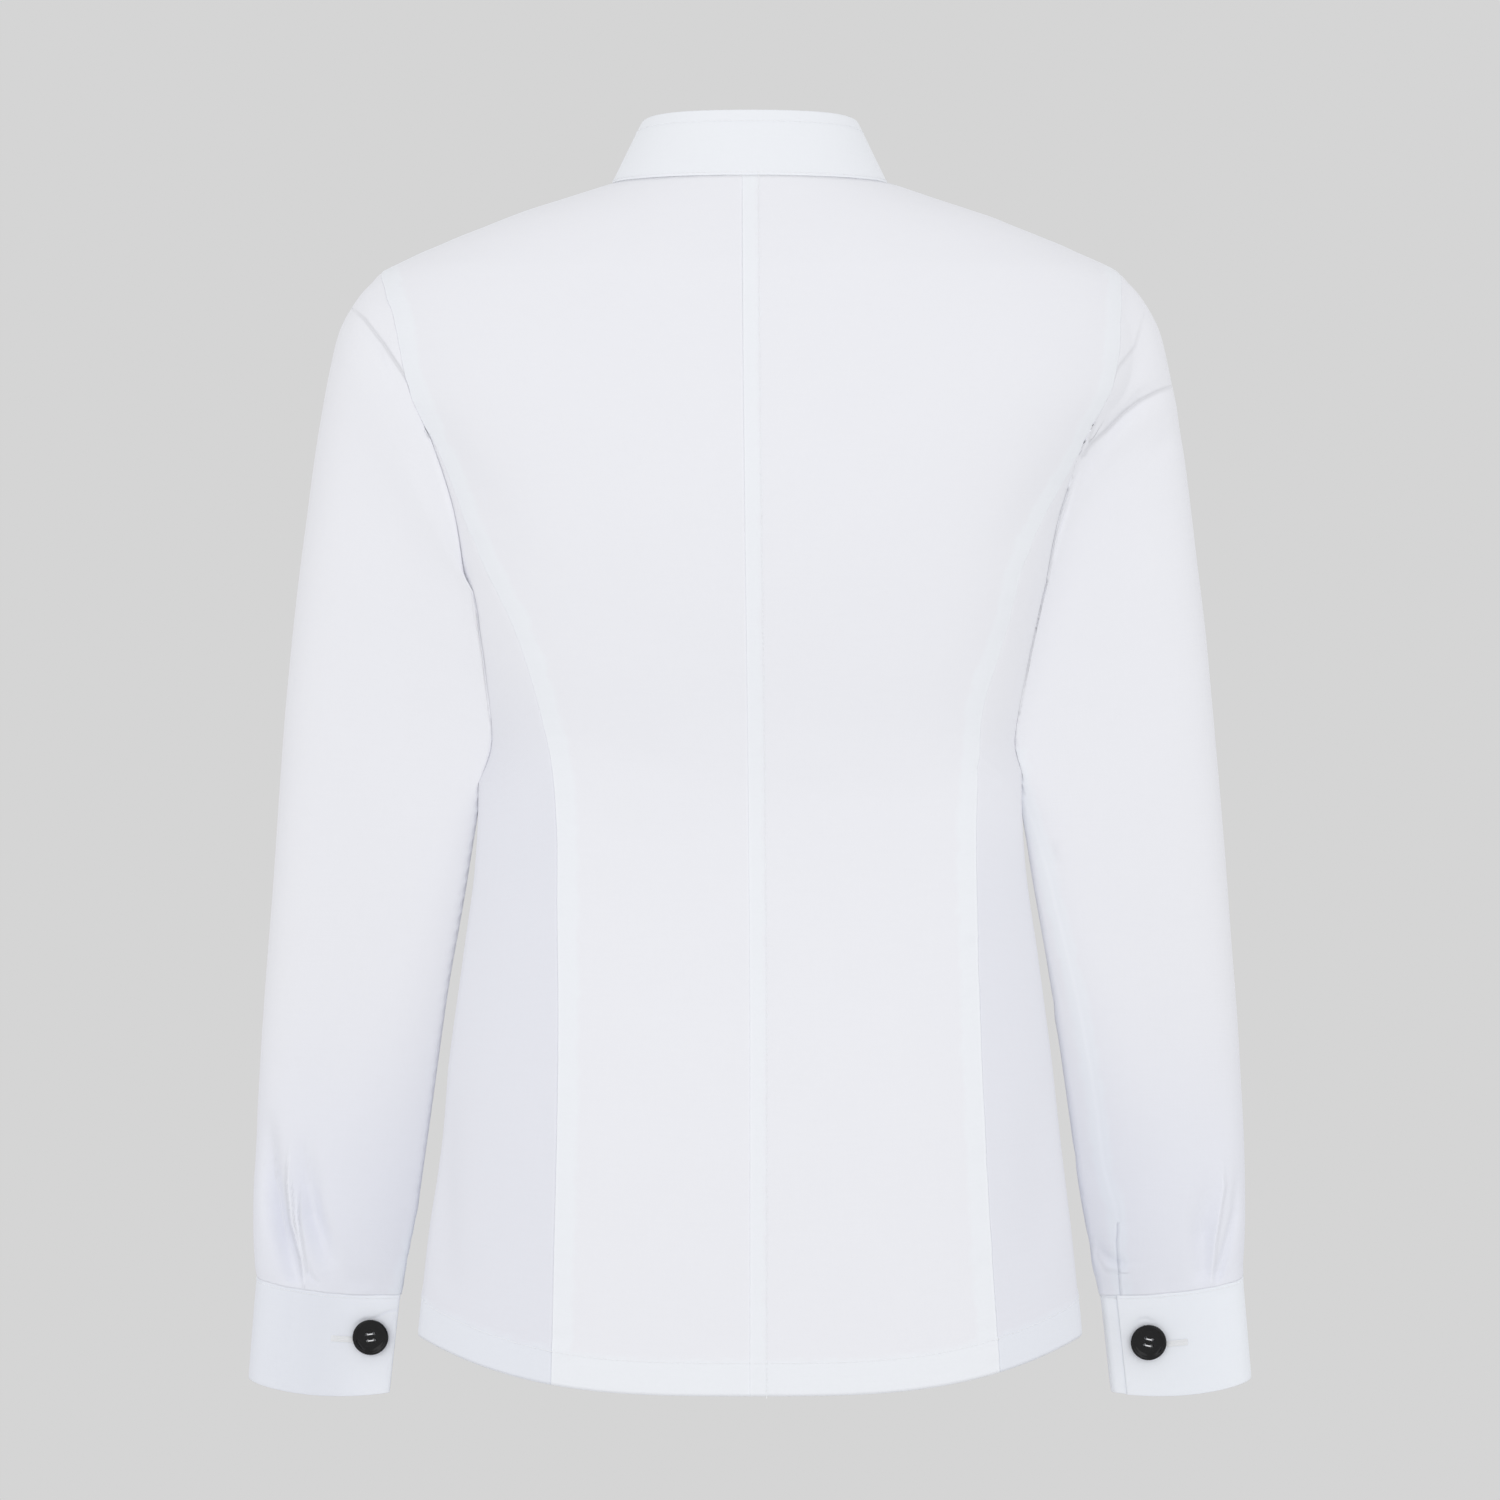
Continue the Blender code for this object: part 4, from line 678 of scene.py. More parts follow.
def neck_spot(angle):
    """(angle, z) on the body of the neckline's point at an angle of its own plan."""
    if math.cos(angle) >= 0:
        return angle, 0.0
    x, y = NECK_HALF_WIDTH * math.sin(angle), NECK_FRONT * math.cos(angle)
    z = height_at(x, y)
    s = read(BODY, z)
    return math.atan2(x / s.half_width, y / s.front), z


def armhole_spot(side, turn):
    """(angle, z) on the body of a point of the armhole, turn radians from its top round the back."""
    reach = ARMHOLE_BACK[side] if math.sin(turn) >= 0 else ARMHOLE_FRONT[side]
    z = ARMHOLE_Z + ARMHOLE_HALF_HEIGHT * math.cos(turn)
    return angle_at_depth(reach * math.sin(turn), z), z


def princess_spot(side, z):
    row = read(PRINCESS, z)
    return angle_at_width(row.left if side == LEFT else row.right, z), z


def centre_back_spot(side, z):
    drift = CENTRE_BACK_DRIFT * eased(1 - z / CENTRE_BACK_DRIFT_END_Z)
    return side * drift / read(BODY, z).half_width, z


# ---- sheets ----


class Sheet:
    """A grid of points on a form, with what is measured on it."""

    def __init__(self, grid, closed=False, flipped=False, normals=None):
        self.grid = grid
        self.closed = closed
        self.rows, self.columns = len(grid), len(grid[0])
        self.flipped = flipped
        self.normals = normals or self.find_normals()
        self.from_left = self.distances([row[0] for row in grid])
        self.from_right = self.distances([row[-1] for row in grid])
        self.from_bottom = self.distances(grid[0])
        self.from_top = self.distances(grid[-1])

    def find_normals(self):
        normals = []
        for j in range(self.rows):
            below, above = self.grid[max(j - 1, 0)], self.grid[min(j + 1, self.rows - 1)]
            row = []
            for i in range(self.columns):
                left, right = max(i - 1, 0), min(i + 1, self.columns - 1)
                if self.closed and i in (0, self.columns - 1):
                    left, right = self.columns - 2, 1
                across = self.grid[j][right] - self.grid[j][left]
                normal = across.cross(above[i] - below[i]).normalized()
                row.append(-normal if self.flipped else normal)
            normals.append(row)
        return normals

    def distances(self, line):
        """From each point of the grid to a line of points."""
        tree = KDTree(len(line))
        for k, point in enumerate(line):
            tree.insert(point, k)
        tree.balance()
        table = []
        for row in self.grid:
            values = []
            for point in row:
                _, k, nearest = tree.find(point)
                for other in (k - 1, k + 1):
                    if 0 <= other < len(line):
                        along = line[other] - line[k]
                        share = (point - line[k]).dot(along) / max(along.length_squared, 1e-12)
                        if 0 < share < 1:
                            nearest = min(nearest, (point - line[k] - along * share).length)
                values.append(nearest)
            table.append(values)
        return table

    def raised(self, relief):
        """The sheet with each point moved out along its normal by relief(row, column)."""
        self.grid = [
            [self.grid[j][i] + self.normals[j][i] * relief(j, i) for i in range(self.columns)]
            for j in range(self.rows)
        ]
        self.normals = self.find_normals()

    def line_at(self, field, distance, upright):
        """Points and normals of the line on the sheet at a distance from one of its edges."""
        points = []
        for k in range(self.rows if upright else self.columns):
            cells = [(k, n) for n in range(self.columns)] if upright else [
                (n, k) for n in range(self.rows)
            ]
            for (j, i), (jj, ii) in zip(cells, cells[1:]):
                a, b = field[j][i] - distance, field[jj][ii] - distance
                if a * b <= 0 and a != b:
                    share = a / (a - b)
                    points.append(
                        (
                            self.grid[j][i].lerp(self.grid[jj][ii], share),
                            self.normals[j][i].lerp(self.normals[jj][ii], share).normalized(),
                        )
                    )
                    break
        return points


def patch(left, right, bottom, top, across):
    """A grid of (angle, z) spots between four edges that meet at their ends."""
    rows = len(left) - 1
    grid = []
    for j in range(rows + 1):
        v = j / rows
        row = []
        for i, u in enumerate(across):
            row.append(
                tuple(
                    (1 - u) * left[j][c]
                    + u * right[j][c]
                    + (1 - v) * bottom[i][c]
                    + v * top[i][c]
                    - (1 - u) * (1 - v) * left[0][c]
                    - u * (1 - v) * right[0][c]
                    - (1 - u) * v * left[-1][c]
                    - u * v * right[-1][c]
                    for c in (0, 1)
                )
            )
        grid.append(row)
    return grid


def place(side, spots, inset=lambda point: 0.0):
    """Body points of a grid of spots, on the left or mirrored to the right."""
    grid = []
    for row in spots:
        points = []
        for angle, z in row:
            point = body_point(angle, z)
            point.x *= side
            depth = inset(point)
            if depth:
                point = body_point(angle, z, depth)
                point.x *= side
            points.append(point)
        grid.append(points)
    return grid


def body_normals(side, spots):
    """Outward directions of the body's form at a grid of spots."""
    turn, rise = 0.002, 0.0004
    table = []
    for row in spots:
        normals = []
        for angle, z in row:
            along = body_point(angle + turn, z) - body_point(angle - turn, z)
            upward = body_point(angle, z + rise) - body_point(angle, z - rise)
            normal = upward.cross(along).normalized()
            normal.x *= side
            normals.append(normal)
        table.append(normals)
    return table


def toward(point, inner, distance):
    return point + (inner - point).normalized() * distance


def set_back_edges(grid, left=0.0, right=0.0, bottom=0.0, top=0.0):
    """Draws the edges of a grid in by the distances given."""
    moved = [
        [toward(row[0], row[1], left), *row[1:-1], toward(row[-1], row[-2], right)]
        for row in grid
    ]
    low = [toward(point, above, bottom) for point, above in zip(moved[0], moved[1])]
    high = [toward(point, below, top) for point, below in zip(moved[-1], moved[-2])]
    return [low, *moved[1:-1], high]


# ---- relief of the cloth ----


def crease_relief(creases, x, z):
    """How far the creases raise the cloth at a distance from the middle and a height."""
    total = 0.0
    for crease in creases:
        reach = 3 * crease.width + (4 * crease.width if crease.lip else 0)
        path = crease.path
        if not min(p[0] for p in path) - reach < x < max(p[0] for p in path) + reach:
            continue
        if not min(p[1] for p in path) - reach < z < max(p[1] for p in path) + reach:
            continue
        distance, signed, strength = beside_path(path, x, z)
        total -= crease.depth * strength * math.exp(-((distance / crease.width) ** 2))
        if crease.lip:
            spread = 1.8 * crease.width
            side = signed if crease.lip > 0 else -signed
            total += abs(crease.lip) * strength * math.exp(-(((side - spread) / spread) ** 2))
    return total


def sheet_field(sheet, value_at):
    return [[value_at(point) for point in row] for row in sheet.grid]


def line_fields(sheet, lines):
    """Widths away from the nearest sharp line, with its side as the sign, and the line's shade."""
    away, shade = [], []
    for row in sheet.grid:
        away_row, shade_row = [], []
        for point in row:
            best = LINE_REACH, 0.0, 0.0
            for line in lines if point.y > -0.020 else ():
                distance, signed, strength = beside_path(line.path, point.x, point.z)
                if distance / line.width < best[0]:
                    near_it = eased(2 - 2 * distance / line.width / LINE_REACH)
                    best = distance / line.width, signed / line.width, line.shade * strength * near_it
            away_row.append(best[1])
            shade_row.append(best[2])
        away.append(away_row)
        shade.append(shade_row)
    return {"line_away": away, "line_shade": shade}


def beside_path(path, x, z):
    """(distance, the same with its side as the sign, strength) at the nearest point of a path."""
    best = None
    for (ax, az, a_strength), (bx, bz, b_strength) in zip(path, path[1:]):
        dx, dz = bx - ax, bz - az
        share = ((x - ax) * dx + (z - az) * dz) / (dx * dx + dz * dz)
        held = min(max(share, 0.0), 1.0)
        away_x, away_z = x - ax - dx * held, z - az - dz * held
        distance = math.hypot(away_x, away_z)
        if best is None or distance < best[0]:
            signed = distance if dx * away_z - dz * away_x > 0 else -distance
            best = distance, signed, mixed(a_strength, b_strength, held)
    return best


def unevenness(point):
    """Between about -1 and 1, over hand-sized and finger-sized patches of cloth."""
    broad = noise.noise(Vector((point.x * 11, point.y * 11, point.z * 8)))
    fine = noise.noise(Vector((point.x * 34 + 5, point.y * 34, point.z * 22)))
    return 0.75 * broad + 0.25 * fine


def level_ripple(point):
    """Small ripples that lie across an upright seam."""
    return noise.noise(Vector((point.x * 22, point.y * 22, point.z * 150)))


def upright_ripple(point):
    """Small ripples that lie across a level seam."""
    return noise.noise(Vector((point.x * 150, point.y * 150, point.z * 25)))


def clear_of_sleeves(point):
    """0 on the sides of the body, where the sleeves lie against it, and 1 away from them."""
    behind = eased((abs(point.y) - 0.050) / 0.020)
    below = eased((-0.330 - point.z) / 0.040)
    return max(behind, below)


# Puckers along seams and edges, as (share of their full height, how far they reach from it).
CURVED_SEAM_PUCKERS = (1.7, 0.018)
CENTRE_SEAM_PUCKERS = (0.45, 0.014)
SIDE_SEAM_PUCKERS = (0.6, 0.010)
PLACKET_PUCKERS = (0.5, 0.010)
HEM_PUCKERS = (0.8, 0.034)
SLEEVE_SEAM_PUCKERS = (1.0, 0.012)
SLEEVE_END_PUCKERS = (1.5, 0.012)
CUFF_PUCKERS = COLLAR_PUCKERS = (0.5, 0.010)


def puckers(kind, ripple, distance):
    share, reach = kind
    return share * bpy.context.scene.blouse_cloth.pucker * ripple * near(distance, reach)


def roll(distance, depth=SEAM_ROLL_DEPTH):
    """The cloth turns in along a sewn or folded edge."""
    return -depth * math.exp(-((distance / SEAM_ROLL_WIDTH) ** 2))


def strip(distance, width):
    """1 on a doubled strip beside a seam, and 0 past it."""
    return 1 - eased((distance - width) / STRIP_EDGE + 0.5)


def near(distance, width):
    return eased(1 - distance / width)


# ---- making a cloth piece ----


def cloth_object(name, sheet, thickness, material, welded_from=None, fields=None):
    """A mesh through the sheet's grid, whose last column is its first one again from the row
    welded_from on, with its own threads' lengthwise and crosswise places as a UV map."""
    rows, columns = sheet.rows, sheet.columns
    number = {}
    places = []
    for j in range(rows):
        for i in range(columns):
            if i == columns - 1 and welded_from is not None and j >= welded_from:
                number[j, i] = number[j, 0]
            else:
                number[j, i] = len(places)
                places.append((j, i))
    faces, corners = [], []
    for j in range(rows - 1):
        for i in range(columns - 1):
            ring = [(j, i), (j, i + 1), (j + 1, i + 1), (j + 1, i)]
            if sheet.flipped:
                ring.reverse()
            faces.append([number[cell] for cell in ring])
            corners += ring
    mesh = bpy.data.meshes.new(name)
    mesh.from_pydata([sheet.grid[j][i] for j, i in places], [], faces)
    mesh.shade_smooth()
    across, along = thread_places(sheet)
    uv = mesh.uv_layers.new(name="cloth")
    uv.data.foreach_set("uv", [c for j, i in corners for c in (across[j][i], along[j][i])])
    for field_name, field in {**edge_fields(sheet), **(fields or {})}.items():
        layer = mesh.attributes.new(field_name, "FLOAT", "POINT")
        layer.data.foreach_set("value", [field[j][i] for j, i in places])
    mesh.materials.append(material)
    item = linked(name, mesh)
    wall = item.modifiers.new("cloth thickness", "SOLIDIFY")
    wall.thickness = thickness
    wall.offset = -1
    wall.use_rim = True
    return item


def edge_fields(sheet):
    edges = "from_left", "from_right", "from_bottom", "from_top"
    return {edge: getattr(sheet, edge) for edge in edges}


def channel_rows(sheet, channels):
    """Rows of stitches for the channels, each of which is (edge, distance)."""
    upright = "from_left", "from_right"
    return [sheet.line_at(getattr(sheet, edge), at, edge in upright) for edge, at in channels]


def thread_places(sheet):
    """Lengths across and along the sheet, from the middle of its lowest row."""
    middle = sheet.columns // 2
    across, along = [], []
    height = 0.0
    for j, row in enumerate(sheet.grid):
        if j:
            height += (row[middle] - sheet.grid[j - 1][middle]).length
        widths = [0.0]
        for a, b in zip(row, row[1:]):
            widths.append(widths[-1] + (b - a).length)
        across.append([w - widths[middle] for w in widths])
        along.append([height] * sheet.columns)
    return across, along


def sewn(piece, node, stitches=()):
    """Attaches a finished cloth piece and the rows of stitches on it to the root, and hides its solid."""
    for item in (piece, *stitches):
        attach(item, "root")
    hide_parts(node)


# ---- geometry nodes: stitches and copies ----


def add_input(tree, name, kind, default=None):
    socket = tree.interface.new_socket(name, in_out="INPUT", socket_type=kind)
    if default is not None:
        socket.default_value = default
    return socket


def node(tree, kind, **settings):
    made = tree.nodes.new(kind)
    for name, value in settings.items():
        setattr(made, name, value)
    return made


def join(tree, *links):
    """Makes links of (node, output, node, input)."""
    for source, output, target, given in links:
        tree.links.new(source.outputs[output], target.inputs[given])


def set_inputs(made, values):
    for name, value in values.items():
        made.inputs[name].default_value = value


def made_once(kind, name):
    """The datablock of this name, made by the function the first time it is asked for."""

    def of(make):
        def found():
            kept = getattr(bpy.data, kind)
            return kept[name] if name in kept else make(name)

        return found

    return of


def linked(name, data):
    item = bpy.data.objects.new(name, data)
    bpy.context.scene.collection.objects.link(item)
    return item


SATIN_LENGTH = 0.0016  # of a stitch across the edge of a buttonhole
STITCH_SUNK = 0.1  # of its thread's thickness is how high a stitch starts above the cloth


def copied_on(tree, points, shape, turned, finish, out):
    """Ends a tree with copies of a shape on its points, in one material."""
    copies = node(tree, "GeometryNodeInstanceOnPoints")
    real = node(tree, "GeometryNodeRealizeInstances")
    coloured = node(tree, "GeometryNodeSetMaterial")
    links = tree.links
    links.new(points, copies.inputs["Points"])
    links.new(shape, copies.inputs["Instance"])
    links.new(turned, copies.inputs["Rotation"])
    links.new(finish, coloured.inputs["Material"])
    join(
        tree,
        (copies, "Instances", real, "Geometry"),
        (real, "Geometry", coloured, "Geometry"),
        (coloured, "Geometry", out, "Geometry"),
    )


@made_once("node_groups", "Row of stitches")
def stitch_tree(name):
    """Short arcs of thread along the edges of a mesh, which stand on the cloth's outer side."""
    tree, given, out = group_tree(
        name,
        (("Geometry", "NodeSocketGeometry", None), ("Pitch", "NodeSocketFloat", 0.0028),
         ("Length", "NodeSocketFloat", 0.0022), ("Thickness", "NodeSocketFloat", 0.00034),
         ("Direction", "NodeSocketVector", (1, 0, 0)), ("Thread", "NodeSocketMaterial", None)),
        (("Geometry", "NodeSocketGeometry"),),
        "GeometryNodeTree",
    )
    line = node(tree, "GeometryNodeMeshToCurve")
    spaced = node(tree, "GeometryNodeResampleCurve", mode="LENGTH")
    start, end = (node(tree, "ShaderNodeVectorMath", operation="SCALE") for _ in range(2))
    for share, point in ((0.5, end), (-0.5, start)):
        tree.links.new(given.outputs["Direction"], point.inputs[0])
        reach = maths(tree, "MULTIPLY", given.outputs["Length"], share)
        tree.links.new(reach, point.inputs["Scale"])
    crown = node(tree, "ShaderNodeCombineXYZ")
    arc = node(tree, "GeometryNodeCurveQuadraticBezier")
    arc.inputs["Resolution"].default_value = 4
    profile = node(tree, "GeometryNodeCurvePrimitiveCircle")
    profile.inputs["Resolution"].default_value = 5
    radius = maths(tree, "MULTIPLY", given.outputs["Thickness"], 0.5)
    tree.links.new(radius, profile.inputs["Radius"])
    thread = node(tree, "GeometryNodeCurveToMesh")
    thread.inputs["Fill Caps"].default_value = True
    outward = node(tree, "GeometryNodeInputNamedAttribute", data_type="FLOAT_VECTOR")
    outward.inputs["Name"].default_value = "outward"
    turned = node(tree, "FunctionNodeAxesToRotation", primary_axis="Z", secondary_axis="X")
    join(
        tree,
        (given, "Geometry", line, "Mesh"),
        (line, "Curve", spaced, "Curve"),
        (given, "Pitch", spaced, "Length"),
        (given, "Thickness", crown, "Z"),
        (start, 0, arc, "Start"),
        (crown, 0, arc, "Middle"),
        (end, 0, arc, "End"),
        (arc, "Curve", thread, "Curve"),
        (profile, "Curve", thread, "Profile Curve"),
        (outward, "Attribute", turned, "Primary Axis"),
        (node(tree, "GeometryNodeInputTangent"), 0, turned, "Secondary Axis"),
    )
    copied_on(
        tree, spaced.outputs["Curve"], thread.outputs["Mesh"], turned.outputs[0],
        given.outputs["Thread"], out,
    )
    return tree


@made_once("node_groups", "Copies on points")
def copies_tree(name):
    """A copy of an object on each point, turned as the point says."""
    tree, given, out = group_tree(
        name,
        (("Geometry", "NodeSocketGeometry", None), ("Shape", "NodeSocketObject", None),
         ("Finish", "NodeSocketMaterial", None)),
        (("Geometry", "NodeSocketGeometry"),),
        "GeometryNodeTree",
    )
    points = node(tree, "GeometryNodeMeshToPoints")
    shape = node(tree, "GeometryNodeObjectInfo")
    facing = node(tree, "GeometryNodeInputNamedAttribute", data_type="FLOAT_VECTOR")
    facing.inputs["Name"].default_value = "facing"
    turned = node(tree, "FunctionNodeEulerToRotation")
    join(
        tree,
        (given, "Geometry", points, "Mesh"),
        (given, "Shape", shape, "Object"),
        (facing, "Attribute", turned, 0),
    )
    copied_on(
        tree, points.outputs[0], shape.outputs["Geometry"], turned.outputs[0],
        given.outputs["Finish"], out,
    )
    return tree


def made_by(tree, source, **values):
    """The mesh that a node tree makes of an object, as an object of its own in its place."""
    modifier = source.modifiers.new(tree.name, "NODES")
    modifier.node_group = tree
    for socket in tree.interface.items_tree:
        if socket.item_type == "SOCKET" and socket.in_out == "INPUT" and socket.name in values:
            modifier[socket.identifier] = values[socket.name]
    bpy.context.view_layer.update()
    evaluated = source.evaluated_get(bpy.context.evaluated_depsgraph_get())
    mesh = bpy.data.meshes.new_from_object(evaluated)
    name = source.name
    bpy.data.objects.remove(source, do_unlink=True)
    mesh.name = name
    return linked(name, mesh)


def marked_points(name, attribute, rows, joined=True):
    """A mesh of rows of (point, vector), which keeps the vectors as an attribute."""
    points, edges, vectors = [], [], []
    for row in rows:
        if joined:
            edges += [(len(points) + k, len(points) + k + 1) for k in range(len(row) - 1)]
        points += [point for point, _ in row]
        vectors += [c for _, vector in row for c in vector]
    mesh = bpy.data.meshes.new(name)
    mesh.from_pydata(points, edges, [])
    mesh.attributes.new(attribute, "FLOAT_VECTOR", "POINT").data.foreach_set("vector", vectors)
    return linked(name, mesh)


def stitched(name, rows, satin=False):
    """Stitches along rows of (point, normal) on the cloth, or close ones across them."""
    settings = bpy.context.scene.blouse_stitches
    rows = [row for row in rows if len(row) > 1]
    lift = settings.thickness * STITCH_SUNK
    lifted = [[(point + normal * lift, normal) for point, normal in row] for row in rows]
    source = marked_points(name, "outward", lifted)
    return made_by(
        stitch_tree(),
        source,
        Pitch=settings.satin_pitch if satin else settings.pitch,
        Length=SATIN_LENGTH if satin else settings.length,
        Thickness=settings.thickness,
        Direction=(0, 1, 0) if satin else (1, 0, 0),
        Thread=thread_material(),
    )


# ---- materials ----

CLOTH_FINISH = {
    "Roughness": 0.82, "Specular IOR Level": 0.25, "Sheen Weight": 0.06, "Sheen Roughness": 0.5,
}
THREAD_FINISH = {"Roughness": 0.55, "Sheen Weight": 0.1}
BUTTON_FINISH = {"Specular IOR Level": 0.2, "Coat Weight": 0.25, "Coat Roughness": 0.06}

def group_tree(name, inputs, outputs, kind="ShaderNodeTree"):
    tree = bpy.data.node_groups.new(name, kind)
    for socket_name, kind, default in inputs:
        add_input(tree, socket_name, kind, default)
    for socket_name, kind in outputs:
        tree.interface.new_socket(socket_name, in_out="OUTPUT", socket_type=kind)
    return tree, node(tree, "NodeGroupInput"), node(tree, "NodeGroupOutput")


def maths(tree, operation, first, second=None, third=None):
    """A Math node; each value is a socket or a number."""
    made = node(tree, "ShaderNodeMath", operation=operation)
    for k, value in enumerate((first, second, third)):
        if value is None:
            continue
        if isinstance(value, (int, float)):
            made.inputs[k].default_value = value
        else:
            tree.links.new(value, made.inputs[k])
    return made.outputs[0]


@made_once("node_groups", "Plain weave")
def weave_group(name):
    """Plain weave with its uneven threads: a height in metres and a tone about 1."""
    tree, given, out = group_tree(
        name,
        (("Vector", "NodeSocketVector", None), ("Pitch", "NodeSocketFloat", 0.00036),
         ("Thread height", "NodeSocketFloat", 0.000012), ("Slub", "NodeSocketFloat", 0.012)),
        (("Height", "NodeSocketFloat"), ("Tone", "NodeSocketFloat")),
    )
    links = tree.links
    apart = node(tree, "ShaderNodeSeparateXYZ")
    links.new(given.outputs["Vector"], apart.inputs[0])
    waves = []
    for axis in ("X", "Y"):
        turns = maths(tree, "DIVIDE", apart.outputs[axis], given.outputs["Pitch"])
        waves.append(maths(tree, "SINE", maths(tree, "MULTIPLY", turns, math.pi)))
    weave = maths(tree, "MULTIPLY", waves[0], waves[1])
    slubs = []
    for scale in ((45, 900, 1), (700, 38, 1), (16, 20, 1)):
        stretched = node(tree, "ShaderNodeMapping")
        stretched.inputs["Scale"].default_value = scale
        grain = node(tree, "ShaderNodeTexNoise")
        set_inputs(grain, {"Scale": 1.0, "Detail": 2.0})
        links.new(given.outputs["Vector"], stretched.inputs[0])
        links.new(stretched.outputs[0], grain.inputs["Vector"])
        slubs.append(maths(tree, "SUBTRACT", grain.outputs[0], 0.5))
    level = maths(tree, "ADD", slubs[0], maths(tree, "MULTIPLY", slubs[1], 0.6))
    height = maths(tree, "MULTIPLY", weave, given.outputs["Thread height"])
    height = maths(tree, "MULTIPLY_ADD", level, 0.00003, height)
    links.new(height, out.inputs["Height"])
    mottled = maths(tree, "ADD", level, maths(tree, "MULTIPLY", slubs[2], 0.9))
    tone = maths(tree, "MULTIPLY_ADD", mottled, given.outputs["Slub"], 1.0)
    links.new(tone, out.inputs["Tone"])
    return tree


@made_once("node_groups", "Pressed edge")
def seam_highlight_group(name):
    """A mask of the painted highlight beside a seam, on its ironed edge."""
    tree, given, out = group_tree(
        name,
        (("Distance", "NodeSocketFloat", 0.0), ("Width", "NodeSocketFloat", SEAM_HIGHLIGHT)),
        (("Mask", "NodeSocketFloat"),),
    )
    ratio = maths(tree, "DIVIDE", given.outputs["Distance"], given.outputs["Width"])
    square = maths(tree, "MULTIPLY", ratio, ratio)
    fall = maths(tree, "EXPONENT", maths(tree, "MULTIPLY", square, -1.0))
    tree.links.new(fall, out.inputs["Mask"])
    return tree


@made_once("node_groups", "Doubled strip")
def strip_group(name):
    """A mask of the strip between two distances from an edge."""
    tree, given, out = group_tree(
        name,
        (("Vector", "NodeSocketVector", None), ("Distance", "NodeSocketFloat", 0.0),
         ("End", "NodeSocketFloat", 0.01), ("Softness", "NodeSocketFloat", 0.0030)),
        (("Mask", "NodeSocketFloat"),),
    )
    waver = node(tree, "ShaderNodeTexNoise")
    set_inputs(waver, {"Scale": 110, "Detail": 1.0})
    tree.links.new(given.outputs["Vector"], waver.inputs["Vector"])
    astray = maths(tree, "MULTIPLY_ADD", waver.outputs[0], 0.006, -0.003)
    end = maths(tree, "ADD", given.outputs["End"], astray)
    past = maths(tree, "SUBTRACT", end, given.outputs["Distance"])
    share = maths(tree, "DIVIDE", past, given.outputs["Softness"])
    held = node(tree, "ShaderNodeClamp")
    tree.links.new(maths(tree, "ADD", share, 0.5), held.inputs[0])
    tree.links.new(held.outputs[0], out.inputs["Mask"])
    return tree


@made_once("node_groups", "Sharp line")
def line_group(name):
    """A sharp line: how far it raises the cloth, in metres, and the painted shade that it takes from the
    tone, which is a painted highlight where the shade is below 0.
    """
    tree, given, out = group_tree(
        name,
        (("Away", "NodeSocketFloat", 0.0), ("Shade", "NodeSocketFloat", 0.0),
         ("Relief", "NodeSocketFloat", LINE_RELIEF)),
        (("Height", "NodeSocketFloat"), ("Loss", "NodeSocketFloat")),
    )
    square = maths(tree, "MULTIPLY", given.outputs["Away"], given.outputs["Away"])
    fall = maths(tree, "EXPONENT", maths(tree, "MULTIPLY", square, -1.0))
    painted_shade = maths(tree, "MULTIPLY", fall, given.outputs["Shade"])
    tree.links.new(painted_shade, out.inputs["Loss"])
    depth = maths(tree, "MULTIPLY", painted_shade, given.outputs["Relief"])
    tree.links.new(maths(tree, "MULTIPLY", depth, -1.0), out.inputs["Height"])
    return tree


@made_once("node_groups", "Stitch channel")
def channel_group(name):
    """The shallow channel that a row of stitches pulls into the cloth: a height in metres."""
    tree, given, out = group_tree(
        name,
        (("Distance", "NodeSocketFloat", 0.0), ("At", "NodeSocketFloat", 0.01),
         ("Width", "NodeSocketFloat", 0.0009), ("Depth", "NodeSocketFloat", 0.00012)),
        (("Height", "NodeSocketFloat"),),
    )
    off = maths(tree, "SUBTRACT", given.outputs["Distance"], given.outputs["At"])
    ratio = maths(tree, "DIVIDE", off, given.outputs["Width"])
    square = maths(tree, "MULTIPLY", ratio, ratio)
    fall = maths(tree, "EXPONENT", maths(tree, "MULTIPLY", square, -1.0))
    depth = maths(tree, "MULTIPLY", given.outputs["Depth"], -1.0)
    tree.links.new(maths(tree, "MULTIPLY", fall, depth), out.inputs["Height"])
    return tree


def placed_group(tree, group, **values):
    made = node(tree, "ShaderNodeGroup", node_tree=group)
    for name, value in values.items():
        socket = made.inputs[name.replace("_", " ")]
        if isinstance(value, (int, float)):
            socket.default_value = value
        else:
            tree.links.new(value, socket)
    return made


def new_material(name):
    """A material, its node tree and its shader."""
    made = bpy.data.materials.new(name)
    made.use_nodes = True
    return made, made.node_tree, made.node_tree.nodes["Principled BSDF"]


def field_of(tree, name):
    return node(tree, "ShaderNodeAttribute", attribute_name=name).outputs["Fac"]


